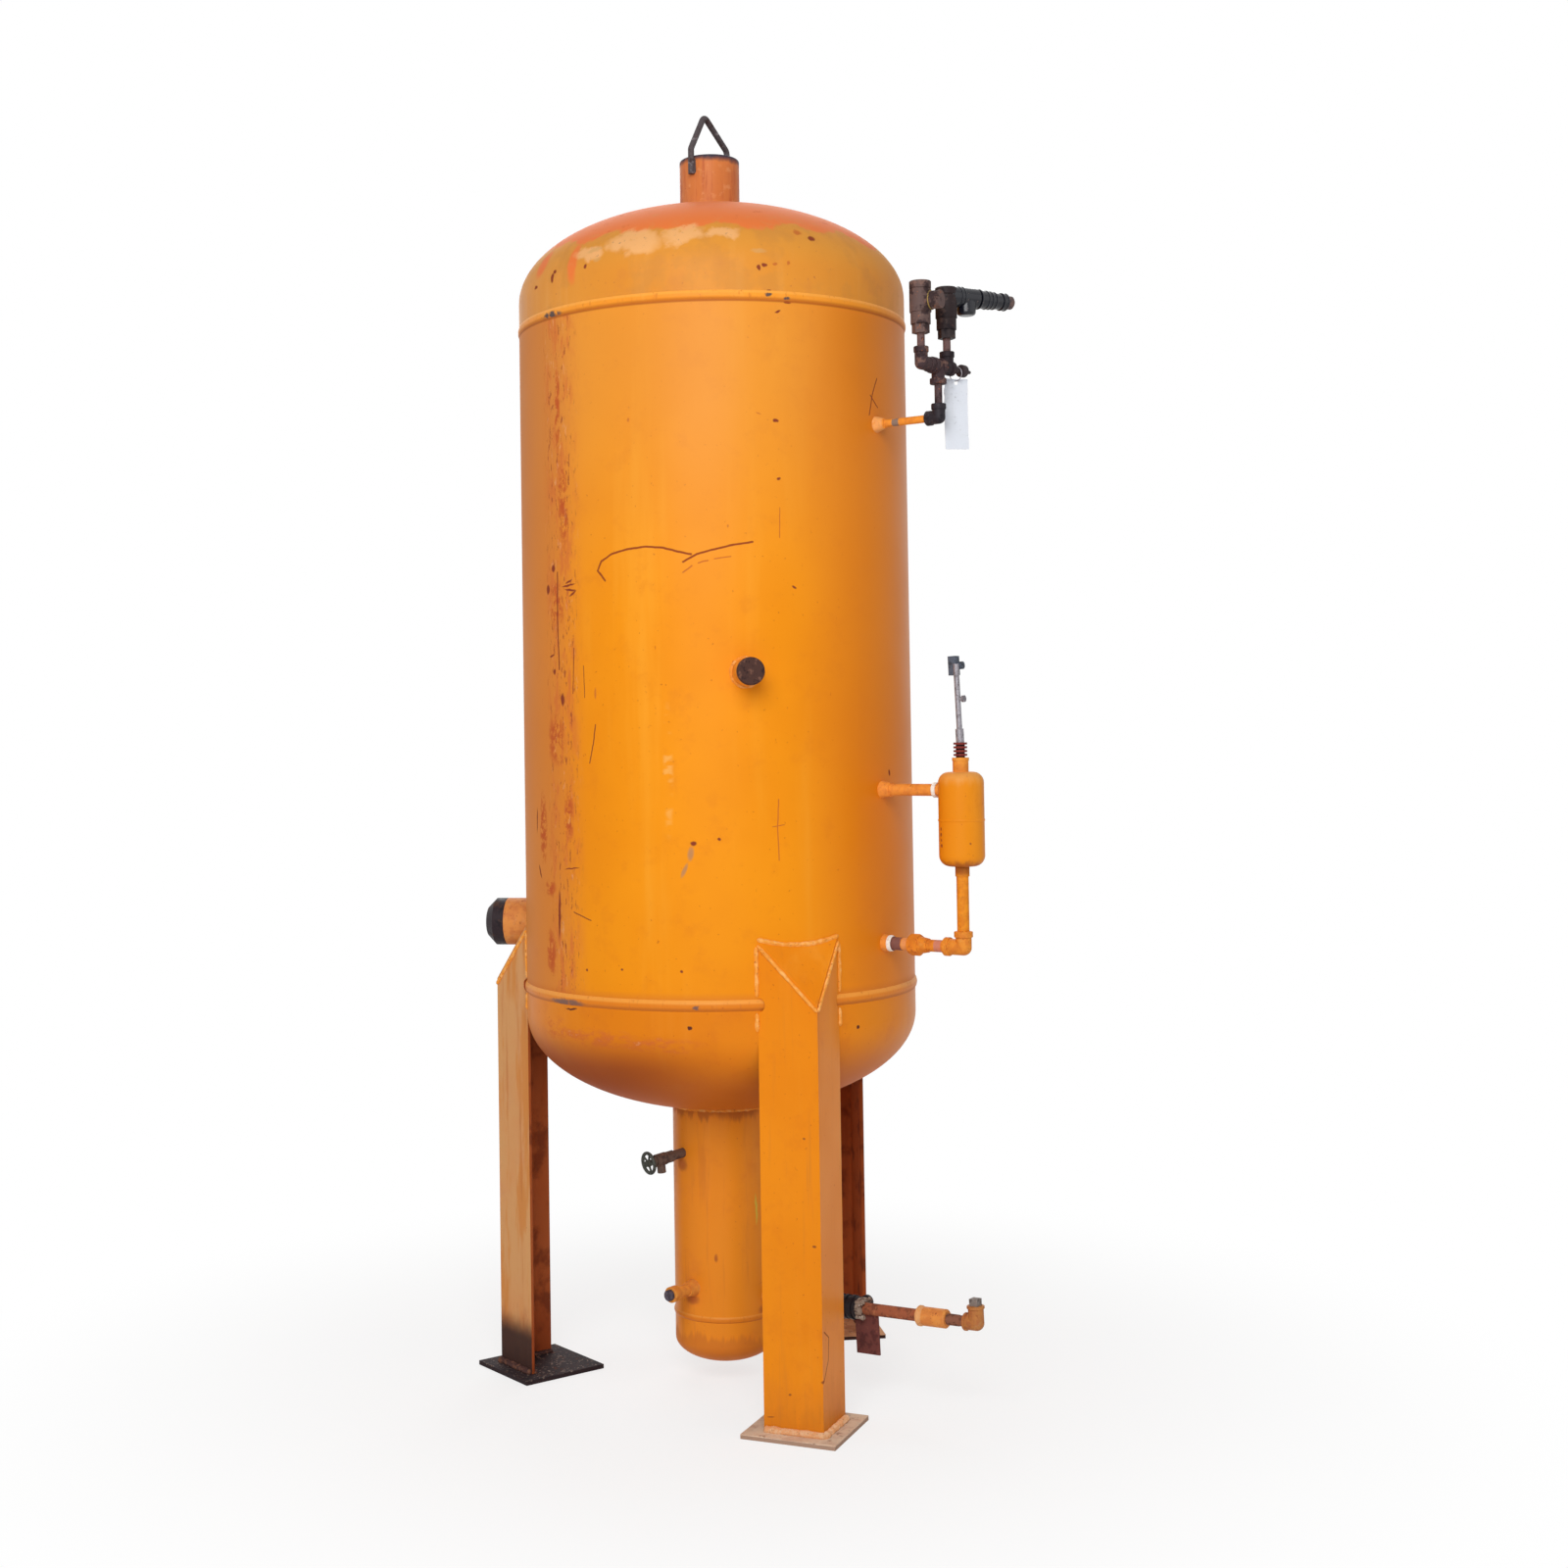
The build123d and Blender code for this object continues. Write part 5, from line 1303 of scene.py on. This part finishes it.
# The drain line's thread, bolts and stem nut
on_nipple = ON_DRAIN @ moved(NIPPLE_START + 0.001, 0, 0) @ turned(90, "Y")
drain_thread = thread(0.0115, 0.030, 0.0021, on_nipple)
make_piece("drain_thread", drain_thread, finishes["drain_nipple"])
bolts = []
for number in range(4):
    around_flange = turned(45 + 90 * number, "X")
    bolt_place = ON_DRAIN @ around_flange @ moved(DRAIN_FLANGE_X, 0, BOLT_CIRCLE) @ turned(90, "Y")
    bolts.append(hex_head(0.0125, 0.0055, bolt_place, 0.004))
make_piece("drain_bolts", join(bolts), finishes["drain_valve_end"])
stem_nut = hex_head(0.022, 0.009, ON_DRAIN @ moved(DRAIN_STEM_X, DRAIN_STEM_OUT, 0) @ turned(-90, "X"))
make_piece("drain_stem_nut", stem_nut, finishes["drain_valve"])

# The gauge valve's packing nut, and the nut that holds its wheel
packing_nut = hex_head(0.022, 0.006, ON_GAUGE @ moved(GAUGE_BODY_END, 0, 0) @ turned(90, "Y"))
make_piece("gauge_packing_nut", packing_nut, finishes["gauge_valve"])
wheel_nut = hex_head(0.012, 0.005, ON_GAUGE @ moved(GAUGE_HUB_END, 0, 0) @ turned(90, "Y"), 0.003)
make_piece("gauge_wheel_nut", wheel_nut, finishes["gauge_handwheel"], "gauge_wheel")

# The brass ring round the left relief valve's boss, and the pale pin on the right valve, a painted
# highlight where the valve shows a glint
on_boss = ON_MANIFOLD @ moved(LEFT_VALVE_X, 0, BOSS_RISE) @ turned(BOSS_TURN - MANIFOLD_TURN)
brass_ring = ring(0.0203, 0.0013, on_boss @ moved(BOSS_END, 0, 0) @ turned(90, "Y"), 72, 10, 0.1)
make_piece("brass_ring", brass_ring, finishes["brass_ring"])
on_right_valve = ON_MANIFOLD @ moved(RIGHT_VALVE_X, 0, PIN_RISE) @ turned(PIN_TURN)
glint_pin = small_bar(0.0024, 0.020, on_right_valve @ moved(PIN_OUT, 0, 0) @ turned(PIN_LEAN, "X"))
make_piece("glint_pin", glint_pin, finishes["drain_valve_end"])

# The ribs round the bonnet, from its bulb to its rim
on_bonnet = ON_MANIFOLD @ moved(RIGHT_VALVE_X, 0, BONNET_RISE) @ turned(BONNET_TURN)
ribs = []
for reach, rib_radius, bar in (
    (0.030, 0.0222, 0.0016), (0.040, 0.0222, 0.0016), (0.0885, 0.0206, 0.0022), (0.108, 0.0196, 0.0018),
    (0.119, 0.0190, 0.0018), (0.130, 0.0184, 0.0018), (0.1515, 0.0186, 0.0016), (0.163, 0.0186, 0.0016),
):
    ribs.append(ring(rib_radius, bar, on_bonnet @ moved(reach, 0, 0) @ turned(90, "Y"), 56, 8))
make_piece("bonnet_ribs", join(ribs), finishes["relief_bonnet"])


def bent_tag():
    """A thin sheet with a hole near its top, gently curled and crumpled at its upper left corner."""
    shape = bmesh.new()
    upright = turned(90, "X") @ Matrix.Diagonal((TAG_WIDTH / 2, TAG_HEIGHT / 2, 1, 1))
    bmesh.ops.create_grid(shape, x_segments=TAG_COLUMNS, y_segments=TAG_ROWS, size=1, matrix=upright)
    hole = Vector((0, 0, TAG_HEIGHT / 2 - TAG_HOLE_DROP))
    punched = 0.8 * TAG_HOLE_RADIUS
    gone = [face for face in shape.faces if (face.calc_center_median() - hole).length < punched]
    bmesh.ops.delete(shape, geom=gone, context="FACES")
    for vertex in shape.verts:
        from_hole = vertex.co - hole
        near_hole = from_hole.length < 2 * TAG_HOLE_RADIUS
        if vertex.is_boundary and near_hole and vertex.co.z < TAG_HEIGHT / 2 - 0.001:
            vertex.co = hole + from_hole.normalized() * TAG_HOLE_RADIUS
    for vertex in shape.verts:
        down = TAG_HEIGHT / 2 - vertex.co.z
        from_corner = Vector((vertex.co.x + TAG_WIDTH / 2, down * 0.6)).length
        corner = max(0.0, 1 - from_corner / TAG_CRUMPLE)
        vertex.co.y += 0.0035 * math.sin(down * 26) + 0.10 * vertex.co.x * down * 2
        vertex.co.y += corner * 0.012 * noise.noise(vertex.co * 110) - corner**2 * 0.008
        vertex.co.x += corner * 0.004 * noise.noise(vertex.co * 70 + Vector((5, 0, 0)))
    bmesh.ops.solidify(shape, geom=shape.faces[:], thickness=TAG_THICKNESS)
    hanging = ON_MANIFOLD @ moved(TAG_X, 0, TAG_TOP - TAG_HEIGHT / 2) @ turned(TAG_TURN)
    bmesh.ops.transform(shape, matrix=hanging, verts=shape.verts)
    return shape


make_piece("bare_tag", bent_tag(), finishes["relief_tag"], stands_for="relief_tag")
wire_place = ON_MANIFOLD @ moved(TAG_X, 0, WIRE_RING_Z) @ turned(90, "Y")
tag_wire = ring(WIRE_RING_RADIUS, WIRE_RADIUS, wire_place, 72, 8)
make_piece("tag_wire", tag_wire, finishes["level_rod"])
